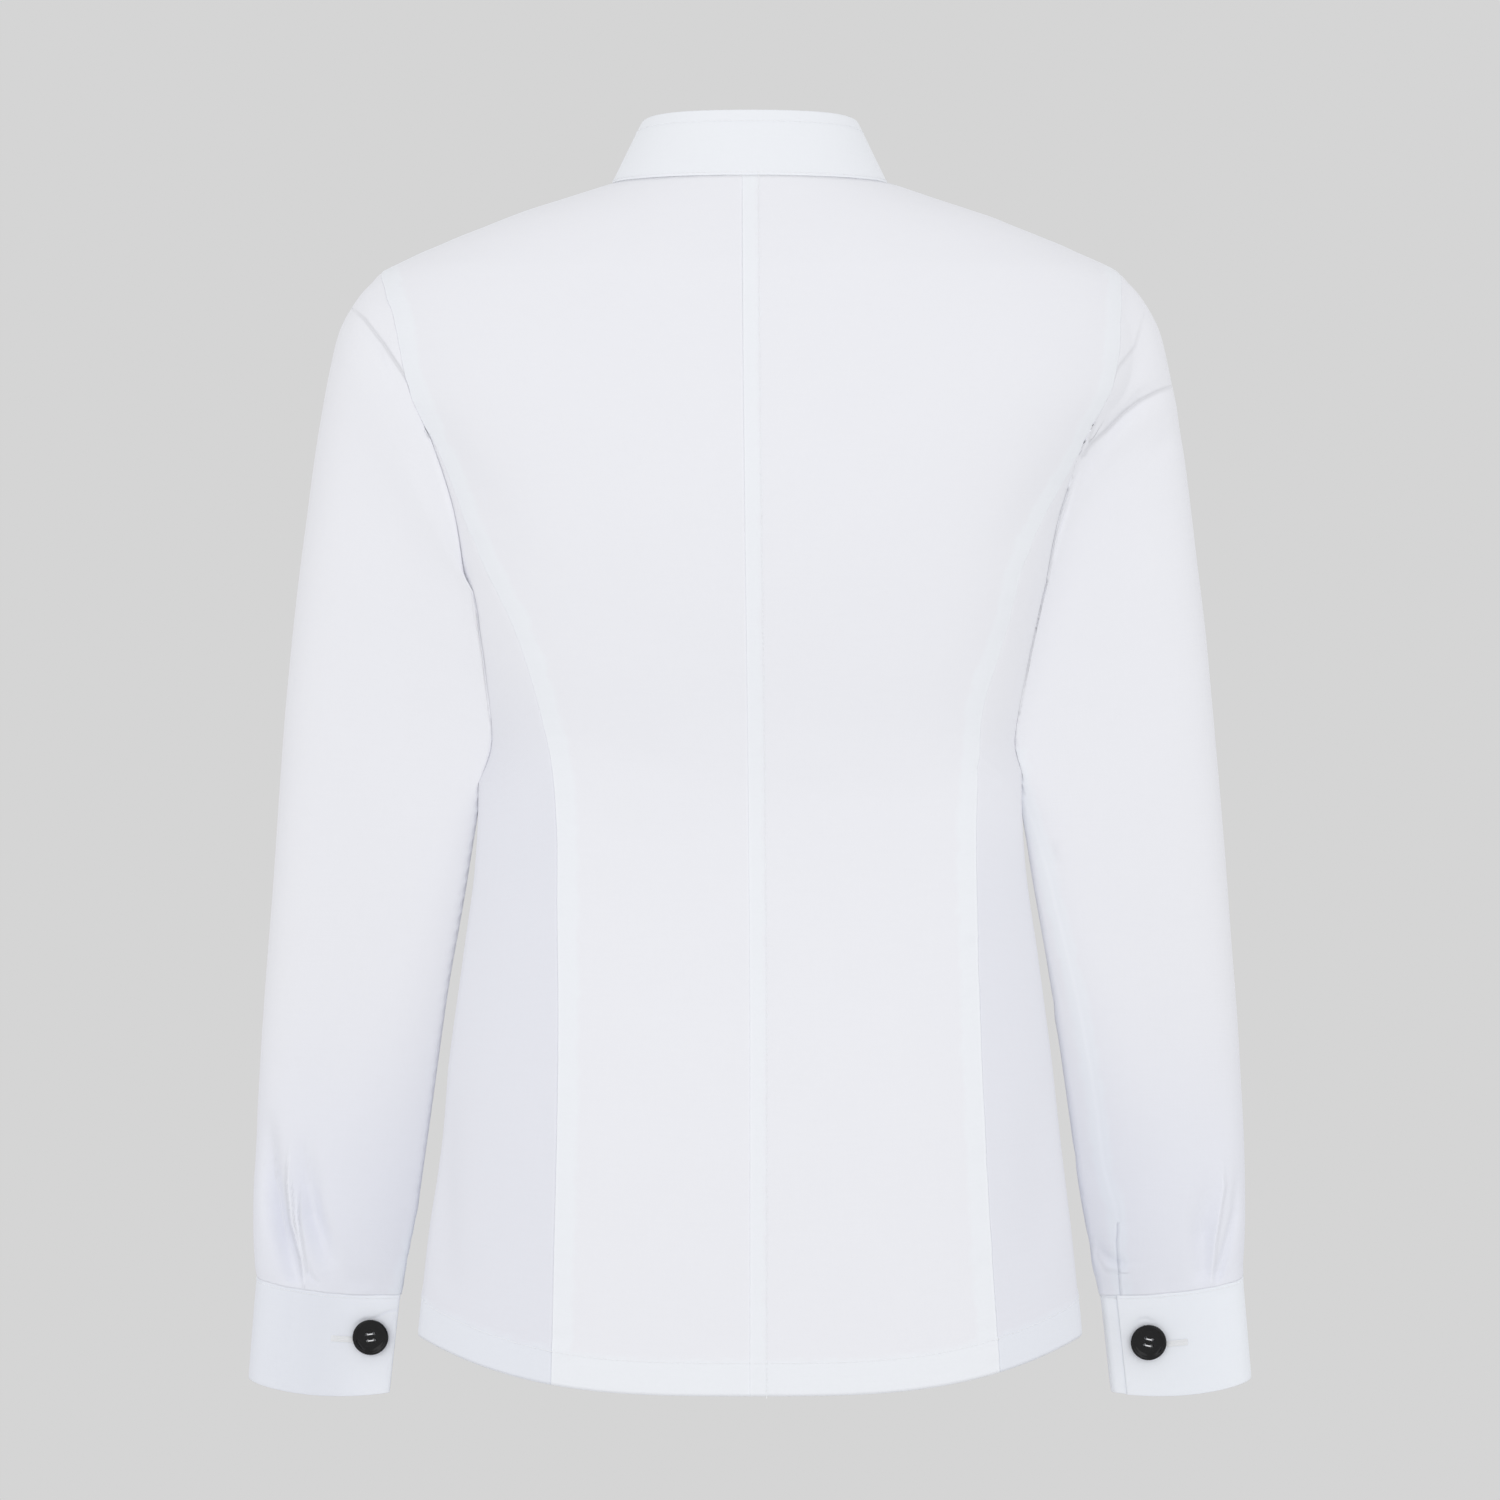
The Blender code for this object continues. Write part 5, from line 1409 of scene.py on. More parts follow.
def cloth_material(
    name, strips=(), channels=(), seams=(), painted_light=None, painted_light_by="", lined=False
):
    """White poplin.  strips are (edge, width) of doubled cloth, channels are (edge, distance) of
    rows of stitches and seams are edges, each with a painted highlight beside it; an edge is one
    of the piece's distance attributes.  The two colours of painted light and shade are for 0 and 1
    of the attribute whose name follows them, and sharp lines, partly painted shade and highlight, show if
    lined."""
    if name in bpy.data.materials:
        return bpy.data.materials[name]
    settings = bpy.context.scene.blouse_cloth
    made, tree, shader = new_material(name)
    links = tree.links
    threads = node(tree, "ShaderNodeUVMap", uv_map="cloth")
    weave = placed_group(
        tree, weave_group(), Vector=threads.outputs[0], Pitch=settings.weave_pitch
    )
    distance = {}
    for edge in {*seams, *(edge for edge, _ in (*strips, *channels))}:
        distance[edge] = field_of(tree, edge)
    height = weave.outputs["Height"]
    mask = None
    for edge, width in strips:
        strip_mask = placed_group(
            tree, strip_group(), Vector=threads.outputs[0], Distance=distance[edge], End=width
        )
        found = strip_mask.outputs["Mask"]
        mask = found if mask is None else maths(tree, "MAXIMUM", mask, found)
    for edge, at in channels:
        channel = placed_group(tree, channel_group(), Distance=distance[edge], At=at)
        height = maths(tree, "ADD", height, channel.outputs["Height"])
    colour = node(tree, "ShaderNodeMix", data_type="RGBA")
    colour.inputs["Factor"].default_value = 0.0
    colour.inputs[6].default_value = (*settings.colour, 1)
    colour.inputs[7].default_value = (*settings.doubled_colour, 1)
    if mask is not None:
        links.new(mask, colour.inputs["Factor"])
    tone = weave.outputs["Tone"]
    # Painted highlight beside each seam, where its ironed edge catches the light
    for edge in seams:
        pressed = placed_group(tree, seam_highlight_group(), Distance=distance[edge])
        tone = maths(tree, "MULTIPLY_ADD", pressed.outputs["Mask"], settings.pressed, tone)
    if lined:
        # Painted shade in the sharp creases, and painted highlights on the light edges of folds
        away, shade = field_of(tree, "line_away"), field_of(tree, "line_shade")
        line = placed_group(tree, line_group(), Away=away, Shade=shade)
        height = maths(tree, "ADD", height, line.outputs["Height"])
        tone = maths(tree, "SUBTRACT", tone, line.outputs["Loss"])
    toned = node(tree, "ShaderNodeVectorMath", operation="SCALE")
    links.new(colour.outputs[2], toned.inputs[0])
    if painted_light:
        # Painted light and shade: the colour is multiplied by the mix of the two given colours at the
        # attribute's share
        share = field_of(tree, painted_light_by)
        light_mix = node(tree, "ShaderNodeMix", data_type="RGBA")
        lit_colour = node(tree, "ShaderNodeMix", data_type="RGBA", blend_type="MULTIPLY")
        light_mix.inputs[6].default_value = (*painted_light[0], 1)
        light_mix.inputs[7].default_value = (*painted_light[1], 1)
        lit_colour.inputs["Factor"].default_value = 1.0
        links.new(share, light_mix.inputs["Factor"])
        links.new(colour.outputs[2], lit_colour.inputs[6])
        links.new(light_mix.outputs[2], lit_colour.inputs[7])
        links.new(lit_colour.outputs[2], toned.inputs[0])
    links.new(tone, toned.inputs["Scale"])
    links.new(toned.outputs[0], shader.inputs["Base Color"])
    bump = node(tree, "ShaderNodeBump")
    set_inputs(bump, {"Distance": 1.0, "Strength": 1.0})
    links.new(height, bump.inputs["Height"])
    links.new(bump.outputs[0], shader.inputs["Normal"])
    set_inputs(shader, CLOTH_FINISH)
    return made


@made_once("materials", "sewing thread")
def thread_material(name):
    made, tree, shader = new_material(name)
    place_on = node(tree, "ShaderNodeTexCoord")
    twist = node(tree, "ShaderNodeTexNoise")
    twist.inputs["Scale"].default_value = 2500
    tone = maths(tree, "MULTIPLY_ADD", twist.outputs[0], 0.08, 0.96)
    colour = node(tree, "ShaderNodeVectorMath", operation="SCALE")
    colour.inputs[0].default_value = bpy.context.scene.blouse_cloth.thread_colour
    tree.links.new(place_on.outputs["Object"], twist.inputs["Vector"])
    tree.links.new(tone, colour.inputs["Scale"])
    tree.links.new(colour.outputs[0], shader.inputs["Base Color"])
    set_inputs(shader, THREAD_FINISH)
    return made


@made_once("materials", "polished black")
def button_material(name):
    settings = bpy.context.scene.blouse_buttons
    made, tree, shader = new_material(name)
    place_on = node(tree, "ShaderNodeTexCoord")
    cloud = node(tree, "ShaderNodeTexNoise")
    set_inputs(cloud, {"Scale": 260, "Detail": 4})
    tree.links.new(place_on.outputs["Object"], cloud.inputs["Vector"])
    tone = maths(tree, "MULTIPLY_ADD", cloud.outputs[0], 0.6, 0.7)
    colour = node(tree, "ShaderNodeVectorMath", operation="SCALE")
    colour.inputs[0].default_value = settings.colour
    tree.links.new(tone, colour.inputs["Scale"])
    tree.links.new(colour.outputs[0], shader.inputs["Base Color"])
    worn = maths(tree, "MULTIPLY_ADD", cloud.outputs[0], 0.1, settings.roughness - 0.05)
    tree.links.new(worn, shader.inputs["Roughness"])
    set_inputs(shader, BUTTON_FINISH)
    return made


# ---- body pieces ----

HEM_ROWS = 18  # close rows over the hem
HEM_ROW_HEIGHT = 0.0017
BODY_ROWS = 138
RING_COLUMNS = 228
BACK_COLUMNS = 0.35  # how much closer the columns stand on the back of a sleeve
QUARTER_ROWS = 34  # rows beside a quarter of the armhole
SHOULDER_ROWS = 24
FRONT_UNDERARM_Z, FRONT_TIP_Z = -0.274, -0.100  # where the rows of those spots meet the lap


def body_shares():
    """Shares of the way from the hem to the armhole, closer over the hem."""
    nominal = 0.48
    close = [k * HEM_ROW_HEIGHT / nominal for k in range(HEM_ROWS)]
    return close + [mixed(close[-1], 1.0, k / BODY_ROWS) for k in range(1, BODY_ROWS + 1)]


def rows_up(spot_at, angle_at_hem, top_z):
    foot = hem_z(angle_at_hem)
    return [spot_at(mixed(foot, top_z, t)) for t in body_shares()]


def hem_spots(start, end, across):
    return [(mixed(start, end, t), hem_z(mixed(start, end, t))) for t in across]


def princess_foot(side):
    """The angle at which the curved seam meets the hem."""
    angle = 0.0
    for _ in range(8):
        angle = princess_spot(side, hem_z(angle))[0]
    return angle


SIDE_ANGLE = math.pi / 2


def shoulder_spots():
    top = ARMHOLE_Z + ARMHOLE_HALF_HEIGHT
    return [(SIDE_ANGLE, mixed(top, 0.0, t)) for t in steps(SHOULDER_ROWS)]


def armhole_line(side, start, end, count):
    return [armhole_spot(side, mixed(start, end, t)) for t in steps(count)]


def body_relief(sheet, creases_back, creases_front, more):
    """Creases, unevenness, the hem and the top seam, and more(row, column, point)."""
    settings = bpy.context.scene.blouse_cloth

    def relief(j, i):
        point = sheet.grid[j][i]
        creases = creases_back if point.y > 0 else creases_front
        hem = sheet.from_bottom[j][i]
        total = settings.crease * crease_relief(creases, point.x, point.z)
        total = (total + settings.uneven * unevenness(point)) * clear_of_sleeves(point)
        total += DOUBLED * 1.3 * strip(hem, HEM_DEPTH) + roll(hem) + roll(sheet.from_top[j][i])
        total += puckers(HEM_PUCKERS, upright_ripple(point), hem)
        return total + more(j, i, point)

    return relief


def back_sheet(side):
    across = graded(0.150, step=0.0030, close_step=0.0017, close_reach=0.012)
    foot = princess_foot(side)
    outer = rows_up(lambda z: princess_spot(side, z), foot, ARMHOLE_Z)[:-1]
    outer += armhole_line(side, SIDE_ANGLE, 0.0, QUARTER_ROWS) + shoulder_spots()[1:]
    centre = rows_up(lambda z: centre_back_spot(side, z), 0.0, ARMHOLE_Z)
    tip = ARMHOLE_Z + ARMHOLE_HALF_HEIGHT
    heights = [mixed(ARMHOLE_Z, tip, t) for t in steps(QUARTER_ROWS)[1:]]
    heights += [mixed(tip, 0.0, t) for t in steps(SHOULDER_ROWS)[1:]]
    centre += [centre_back_spot(side, z) for z in heights]
    top = [(mixed(centre[-1][0], SIDE_ANGLE, t), 0.0) for t in across]
    bottom = hem_spots(centre[0][0], foot, across)
    spots = patch(centre, outer, bottom, top, across)
    grid = set_back_edges(place(side, spots), left=SEAM_LAP, right=SEAM_LAP, top=SEAM_LAP)
    sheet = Sheet(grid, flipped=side == LEFT, normals=body_normals(side, spots))

    def more(j, i, point):
        centre_seam, seam = sheet.from_left[j][i], sheet.from_right[j][i]
        total = roll(centre_seam) + roll(seam) + DOUBLED * strip(seam, PRINCESS_STRIP)
        total += puckers(CURVED_SEAM_PUCKERS, level_ripple(point), seam)
        if side == RIGHT:
            total += DOUBLED * strip(centre_seam, CENTRE_STRIP)
        return total + puckers(CENTRE_SEAM_PUCKERS, level_ripple(point), centre_seam)

    sheet.raised(body_relief(sheet, BODY_BACK_CREASES, BODY_FRONT_CREASES, more))
    return sheet


class BLOUSE_OT_backs(bpy.types.Operator):
    """Sew the two backs, which meet in the centre back seam"""

    bl_idname = "blouse.backs"
    bl_label = "Backs"

    def execute(self, context):
        for side in SIDES:
            sheet = back_sheet(side)
            strips = [("from_right", PRINCESS_STRIP), ("from_bottom", HEM_DEPTH)]
            channels = [("from_bottom", HEM_STITCH)]
            if side == RIGHT:
                strips.append(("from_left", CENTRE_STRIP))
                channels.append(("from_left", CENTRE_STITCH))
            name = f"back_cloth_{SIDE_NAME[side]}"
            material = cloth_material(name, strips, channels, ("from_left", "from_right"))
            piece = cloth_object(name, sheet, CLOTH, material)
            rows = channel_rows(sheet, channels)
            stitches = stitched(f"back_stitches_{SIDE_NAME[side]}", rows)
            sewn(piece, f"back_{SIDE_NAME[side]}", [stitches])
        return {"FINISHED"}


class BLOUSE_OT_side_backs(bpy.types.Operator):
    """Sew the two side backs, between the curved seams and the side seams"""

    bl_idname = "blouse.side_backs"
    bl_label = "Side backs"

    def execute(self, context):
        for side in SIDES:
            sheet = side_back_sheet(side)
            name = f"side_back_cloth_{SIDE_NAME[side]}"
            strips = [("from_bottom", HEM_DEPTH), ("from_right", PRINCESS_STRIP)]
            channels = [("from_bottom", HEM_STITCH)]
            # Painted shade on the lower side backs, which are turned from the light
            painted_light = (1, 1, 1), context.scene.blouse_cloth.turned_away
            seams = ("from_left", "from_right")
            material = cloth_material(name, strips, channels, seams, painted_light, "turned_away")
            top = TURNED_AWAY_FROM_Z[side]
            share = sheet_field(sheet, lambda p: eased((top - p.z) / TURNED_AWAY_OVER))
            piece = cloth_object(name, sheet, CLOTH, material, fields={"turned_away": share})
            rows = channel_rows(sheet, channels)
            stitches = stitched(f"side_back_stitches_{SIDE_NAME[side]}", rows)
            sewn(piece, f"side_back_{SIDE_NAME[side]}", [stitches])
        return {"FINISHED"}


def side_back_sheet(side):
    foot = princess_foot(side)
    across = graded(0.085, step=0.0016, close_step=0.0013, close_reach=0.012)
    inner = rows_up(lambda z: princess_spot(side, z), foot, ARMHOLE_Z)
    inner[-1] = armhole_spot(side, SIDE_ANGLE)
    outer = rows_up(lambda z: (SIDE_ANGLE, z), SIDE_ANGLE, UNDERARM_Z)
    top = [armhole_spot(side, mixed(SIDE_ANGLE, math.pi, t)) for t in across]
    bottom = hem_spots(foot, SIDE_ANGLE, across)
    spots = patch(inner, outer, bottom, top, across)
    grid = set_back_edges(place(side, spots), left=SEAM_LAP, right=SEAM_LAP, top=SEAM_LAP)
    sheet = Sheet(grid, flipped=side == LEFT, normals=body_normals(side, spots))

    def more(j, i, point):
        seam, side_seam = sheet.from_left[j][i], sheet.from_right[j][i]
        total = roll(seam) + roll(side_seam)
        total += DOUBLED * strip(side_seam, PRINCESS_STRIP)
        return total + puckers(SIDE_SEAM_PUCKERS, level_ripple(point), min(seam, side_seam))

    sheet.raised(body_relief(sheet, BODY_BACK_CREASES, BODY_FRONT_CREASES, more))
    return sheet


def distance_to_path(path, x, z):
    best = 1.0
    for (ax, az), (bx, bz) in zip(path, path[1:]):
        dx, dz = bx - ax, bz - az
        share = min(max(((x - ax) * dx + (z - az) * dz) / (dx * dx + dz * dz), 0.0), 1.0)
        best = min(best, math.hypot(x - ax - dx * share, z - az - dz * share))
    return best


def front_sheet(side):
    across = graded(0.205, step=0.0032, close_step=0.0017, close_reach=0.006)
    outer = rows_up(lambda z: (SIDE_ANGLE, z), SIDE_ANGLE, UNDERARM_Z)
    hem, lowest, neck = outer[0][1], hem_z(math.pi), neck_spot(math.pi)[1]
    heights = [mixed(lowest, FRONT_UNDERARM_Z, (z - hem) / (UNDERARM_Z - hem)) for _, z in outer]
    heights += [mixed(FRONT_UNDERARM_Z, FRONT_TIP_Z, t) for t in steps(2 * QUARTER_ROWS)[1:]]
    heights += [mixed(FRONT_TIP_Z, neck, t) for t in steps(SHOULDER_ROWS)[1:]]
    centre = [(math.pi, z) for z in heights]
    outer += armhole_line(side, math.pi, 2 * math.pi, 2 * QUARTER_ROWS)[1:]
    outer += shoulder_spots()[1:]
    top = [neck_spot(mixed(math.pi, SIDE_ANGLE, t)) for t in across]
    bottom = hem_spots(math.pi, SIDE_ANGLE, across)
    spots = patch(centre, outer, bottom, top, across)
    for row, (edge, _) in zip(spots, outer):
        row[:] = [(a + (edge - SIDE_ANGLE) * (u**3 - u), z) for (a, z), u in zip(row, across)]
    lap_shares = [1 - t for t in (0.0, 0.03, 0.09, 0.2, 0.36, 0.52, 0.68, 0.84)]
    for row in spots:
        lap = FRONT_LAP / read(BODY, row[0][1]).half_width
        row[:0] = [(math.pi + lap * share, row[0][1]) for share in lap_shares]

    def inset(point):
        if side == RIGHT:
            return 0.0
        return LAP_DROP * eased((FRONT_LAP + LAP_EASE - point.x) / LAP_EASE)

    grid = set_back_edges(place(side, spots, inset), right=SEAM_LAP, top=SEAM_LAP)
    sheet = Sheet(grid, flipped=side == RIGHT, normals=body_normals(side, spots))

    def more(j, i, point):
        lap_edge, seam = sheet.from_left[j][i], sheet.from_right[j][i]
        total = roll(lap_edge) + roll(seam)
        if side == RIGHT:
            total += DOUBLED * strip(lap_edge, PLACKET_STITCHES[1])
        beside_placket = abs(lap_edge - PLACKET_STITCHES[1])
        total += puckers(PLACKET_PUCKERS, level_ripple(point), beside_placket)
        for dart in (BUST_DART, WAIST_DART):
            away = distance_to_path(dart, abs(point.x), point.z)
            total += roll(away) + DART_RISE * near(away, DART_REACH)
        return total + puckers(SIDE_SEAM_PUCKERS, level_ripple(point), seam)

    relief = body_relief(sheet, BODY_BACK_CREASES, BODY_FRONT_CREASES, more)

    def held_under_the_lap(j, i):
        under = side == LEFT and sheet.grid[j][i].x < FRONT_LAP
        return relief(j, i) * (0.4 if under else 1.0)

    sheet.raised(held_under_the_lap)
    return sheet


class BLOUSE_OT_fronts(bpy.types.Operator):
    """Sew the two fronts, which lap at the centre front, with their darts and buttonholes"""

    bl_idname = "blouse.fronts"
    bl_label = "Fronts"

    def execute(self, context):
        for side in SIDES:
            sheet = front_sheet(side)
            name = f"front_cloth_{SIDE_NAME[side]}"
            strips = [("from_bottom", HEM_DEPTH), ("from_left", PLACKET_STITCHES[1])]
            channels = [("from_bottom", HEM_STITCH)]
            channels += [("from_left", at) for at in PLACKET_STITCHES]
            material = cloth_material(name, strips, channels, ("from_right",))
            piece = cloth_object(name, sheet, CLOTH, material)
            rows = channel_rows(sheet, channels)
            stitches = [stitched(f"front_stitches_{SIDE_NAME[side]}", rows)]
            if side == RIGHT:
                holes = []
                for number in range(FRONT_BUTTONS):
                    holes += front_buttonhole(front_button_z(number))
                stitches.append(stitched("front_buttonholes", holes, satin=True))
            sewn(piece, f"front_{SIDE_NAME[side]}", stitches)
        return {"FINISHED"}


def front_button_z(number):
    return mixed(FRONT_BUTTON_FIRST_Z, FRONT_BUTTON_LAST_Z, number / (FRONT_BUTTONS - 1))


def front_buttonhole(z):
    """Two rows of stitches beside an upright slit, a little below and above the button's shank."""
    rows = []
    for aside in (-BUTTONHOLE_HALF_WIDTH, BUTTONHOLE_HALF_WIDTH):
        row = []
        for t in steps(BUTTONHOLE_POINTS):
            height = z + FRONT_HOLE_ABOVE - BUTTONHOLE_LENGTH * t
            angle = math.pi - aside / read(BODY, height).half_width
            point = body_point(angle, height, -DOUBLED - FRONT_HOLE_LIFT)
            row.append((point, Vector((0, -1, 0))))
        rows.append(row)
    return rows


# ---- sleeves ----


def swell(side, step):
    row = read(SWELL, step)
    return row.left if side == LEFT else row.right


def ring_reach(step, turn):
    """How far out a ring lies at a turn, against an oval: cut flat behind, beside the body."""
    cosine, sine = math.cos(turn), math.sin(turn)
    squareness = mixed(SLEEVE_SQUARENESS, CUFF_SQUARENESS, step / CUFF_STEP)
    if cosine < 0 < sine:
        across = -cosine / (1 + INNER_FULLNESS)
        full = (across**squareness + sine**squareness) ** (-1 / squareness)
        cut = (full**-INNER_EDGE + (-cosine) ** INNER_EDGE) ** (-1 / INNER_EDGE)
        return mixed(1, cut, eased(step / INNER_STEPS))
    soon = mixed(UNDERARM_STEPS, CAP_STEPS, (1 + cosine) / 2)
    return reach_at(turn, mixed(2, squareness, eased(step / soon)))


def sag(sine, cosine):
    """1 in the middle of the back of a ring, -1 in the middle of its front, 0 at its sides."""
    return math.copysign(max(0.0, 1 - cosine**2), sine)


def ring_point(side, step, turn):
    """A point of a sleeve's plain form, on the left."""
    ring, first = read(SLEEVE, step), SLEEVE[0]
    oval = math.cos(turn)
    flat = ring_reach(step, turn)
    sine, cosine = flat * math.sin(turn), flat * oval
    x = mixed(ring.inner_x, ring.outer_x, (1 + cosine) / 2)
    z = mixed(ring.inner_z, ring.outer_z, (1 + cosine) / 2)
    fade = max(0.0, 1 - step / ARMHOLE_FADE) ** 2
    if sine >= 0:
        y = (ring.back + (ARMHOLE_BACK[side] - first.back) * fade + swell(side, step)) * sine
    else:
        y = (ring.front + (ARMHOLE_FRONT[side] - first.front) * fade) * sine
    turned = eased(step / CAP_STEPS) * eased((CUFF_STEP - step) / CAP_STEPS)
    slanted = eased((step - SLANT_STEP) / (PITCH_STEP - SLANT_STEP))
    x += INNER_SLANT * slanted * (ring.back - y) * (1 - cosine) / 2
    y -= SLEEVE_TURN * turned * cosine
    z -= y * math.tan(CUFF_PITCH) * eased((step - PITCH_STEP) / (CUFF_STEP - PITCH_STEP))
    z -= CUFF_SAG * sag(sine, cosine) * eased((step - SAG_STEP) / (CUFF_STEP - SAG_STEP))
    y -= ring.forward
    if fade:
        angle, spot_z = armhole_spot(side, turn)
        flat_x = mixed(first.inner_x, first.outer_x, (1 + oval) / 2)
        x += (body_point(angle, spot_z).x - flat_x) * fade
    side_x = body_half_width(y, z)
    if oval < 0 < sine:
        hug = eased((HUG_STEPS - step) / (HUG_STEPS - INNER_STEPS)) * eased(-oval / 0.04)
        x = mixed(x, side_x, hug)
    apart = x - side_x - SLEEVE_CLEARANCE * min(2 * step, 1.0)
    x += (math.hypot(apart, PRESSED_SOFTNESS * min(step, 1.0)) - apart) / 2
    return Vector((side * x, y, z))


def seam_turned(side, step, turn):
    row = read(UNDERARM_SEAM, step)
    lean = math.radians((row.left if side == LEFT else row.right) - 180)
    return turn + lean * math.sin(turn / 2) ** 2


def sleeve_levels():
    """Rings from the cuff up to the armhole, closer over the cap and over the pleat."""
    levels = []
    stretches = ((15, 13, 46), (13, 9, 26), (9, 5, 24), (5, 1, 80), (1, 0, 14))
    for start, end, count in stretches:
        levels += [mixed(start, end, k / count) for k in range(count)]
    return [*levels, 0.0]


def sleeve_sheet(side):
    levels = sleeve_levels()
    shares = [math.pi * (2 * k / RING_COLUMNS + 1) for k in range(RING_COLUMNS + 1)]
    turns = [share + BACK_COLUMNS * (math.cos(share) + 1) for share in shares]
    grid = []
    for step in levels:
        row = [ring_point(side, step, seam_turned(side, step, t % (2 * math.pi))) for t in turns]
        if step > VENT_STEP:
            half = -VENT_LAP / 2 * min((step - VENT_STEP) / 0.4, 1.0)
            row = [toward(row[0], row[1], half), *row[1:-1], toward(row[-1], row[-2], half)]
        grid.append(row)
    grid = set_back_edges(grid, bottom=SEAM_LAP, top=SEAM_LAP)
    sheet = Sheet(grid, closed=True, flipped=side == RIGHT)
    settings = bpy.context.scene.blouse_cloth
    half_way = RING_COLUMNS // 2

    def relief(j, i):
        point = sheet.grid[j][i]
        back = point.y > -0.018 * eased((levels[j] - PITCH_STEP) / (CUFF_STEP - PITCH_STEP))
        creases = SLEEVE_BACK_CREASES if back else SLEEVE_FRONT_CREASES
        from_armhole = sheet.from_top[j][i]
        apart = abs(point.x) - body_half_width(point.y, point.z)
        held = eased(from_armhole / ARMHOLE_HOLD) * eased(apart / BODY_HOLD)
        held *= eased(sheet.from_bottom[j][i] / CUFF_HOLD)
        total = settings.crease * crease_relief(creases, point.x, point.z) * held
        total += 1.3 * settings.uneven * unevenness(point) * held
        total += 0.25 * roll(sheet.from_bottom[j][i]) + 0.5 * roll(from_armhole)
        total += puckers(SLEEVE_END_PUCKERS, upright_ripple(point), sheet.from_bottom[j][i])
        seam = sheet.from_left[j][i]
        total += roll(seam) + puckers(SLEEVE_SEAM_PUCKERS, level_ripple(point), seam)
        # The edge of the opening that looks outwards lies over the other one.
        if levels[j] > VENT_STEP - VENT_FADE:
            open_share = eased((levels[j] - VENT_STEP + VENT_FADE) / VENT_FADE)
            drop = VENT_OVER if i > half_way else VENT_UNDER
            total += drop * near(seam, VENT_EDGE) * open_share
        return total

    sheet.raised(relief)
    sheet.levels = levels
    return sheet


class BLOUSE_OT_sleeves(bpy.types.Operator):
    """Sew the two sleeves into the armholes, with the pleats and openings above their cuffs"""

    bl_idname = "blouse.sleeves"
    bl_label = "Sleeves"

    def execute(self, context):
        for side in SIDES:
            sheet = sleeve_sheet(side)
            name = f"sleeve_cloth_{SIDE_NAME[side]}"
            strips = [("from_left", SLEEVE_STRIP)]
            welded = next(k for k, step in enumerate(sheet.levels) if step <= VENT_STEP)
            # Painted shade, darker and bluer toward the cuff
            seams, painted_light = ("from_left", "from_bottom"), ((1, 1, 1), SHADE_TOWARD_CUFF)
            material = cloth_material(name, strips, (), seams, painted_light, "toward_cuff", lined=True)
            fields = line_fields(sheet, SLEEVE_LINES[side])
            fields["toward_cuff"] = sheet_field(
                sheet, lambda p: eased((TOWARD_CUFF_FROM_Z - p.z) / TOWARD_CUFF_OVER)
            )
            piece = cloth_object(name, sheet, CLOTH, material, welded, fields)
            sewn(piece, f"sleeve_{SIDE_NAME[side]}")
        return {"FINISHED"}


# ---- cuffs ----


def cuff_height(turn):
    reach = ring_reach(CUFF_STEP, turn)
    sagging = sag(reach * math.sin(turn), reach * math.cos(turn))
    return CUFF_HEIGHT + CUFF_FLARE * math.cos(turn) + CUFF_EDGE_SAG * sagging


def cuff_point(side, turn, down, inset=0.0):
    """A point of a cuff's outer face; turn counts from its outer side round the back."""
    drawn_in = CUFF_TAPER * down / CUFF_HEIGHT + inset
    across = Vector((math.cos(CUFF_TILT), 0, math.sin(CUFF_TILT)))
    along = Vector((0, math.cos(CUFF_PITCH), -math.sin(CUFF_PITCH)))
    reach = ring_reach(CUFF_STEP, turn)
    cosine, sine = reach * math.cos(turn), reach * math.sin(turn)
    slant = INNER_SLANT * CUFF_TOP_HALF_DEPTH * (1 - sine) * (1 - cosine) / 2
    point = Vector(CUFF_TOP) + across.cross(along) * -down
    point += across * ((CUFF_TOP_HALF_WIDTH - drawn_in) * cosine + slant)
    point += along * (CUFF_TOP_HALF_DEPTH - drawn_in) * sine
    point.z -= CUFF_SAG * sag(sine, cosine)
    point.x *= side
    return point


def arc_to_turn(length, turn):
    """The angle that a length of cuff covers on its way back from a turn."""
    nudge, covered, passed = 0.002, 0.0, 0.0
    while passed < length:
        here = cuff_point(LEFT, turn - covered, 0)
        covered += nudge
        passed += (here - cuff_point(LEFT, turn - covered, 0)).length
    return covered


def cuff_sheet(side):
    edge = CUFF_EDGE[side]
    lap, ease = arc_to_turn(CUFF_LAP, edge), arc_to_turn(CUFF_LAP_EASE, edge)
    start, end = edge - lap, edge + 2 * math.pi
    grid = []
    for share in graded(CUFF_HEIGHT, 0.0024, 0.0012, 0.005)[::-1]:
        row = []
        for t in graded(0.255, 0.0016, 0.0010, 0.004):
            turn = mixed(start, end, t)
            inset = CUFF_LAP_DROP * eased(1 - (turn - edge) / ease)
            row.append(cuff_point(side, turn, mixed(SEAM_LAP, cuff_height(turn), share), inset))
        grid.append(row)
    sheet = Sheet(grid, flipped=side == RIGHT)
    settings = bpy.context.scene.blouse_cloth

    def relief(j, i):
        point = sheet.grid[j][i]
        total = roll(sheet.from_bottom[j][i]) + 0.25 * roll(sheet.from_top[j][i])
        total += 0.5 * roll(sheet.from_left[j][i]) + roll(sheet.from_right[j][i])
        total += 0.45 * settings.uneven * unevenness(point) * eased(sheet.from_top[j][i] / CUFF_HOLD)
        total += puckers(CUFF_PUCKERS, upright_ripple(point), sheet.from_top[j][i])
        if point.y > CUFF_TOP[1] and sheet.from_left[j][i] > CUFF_LAP:
            total += settings.crease * crease_relief(CUFF_CREASES, point.x, point.z)
        return total

    sheet.raised(relief)
    return sheet


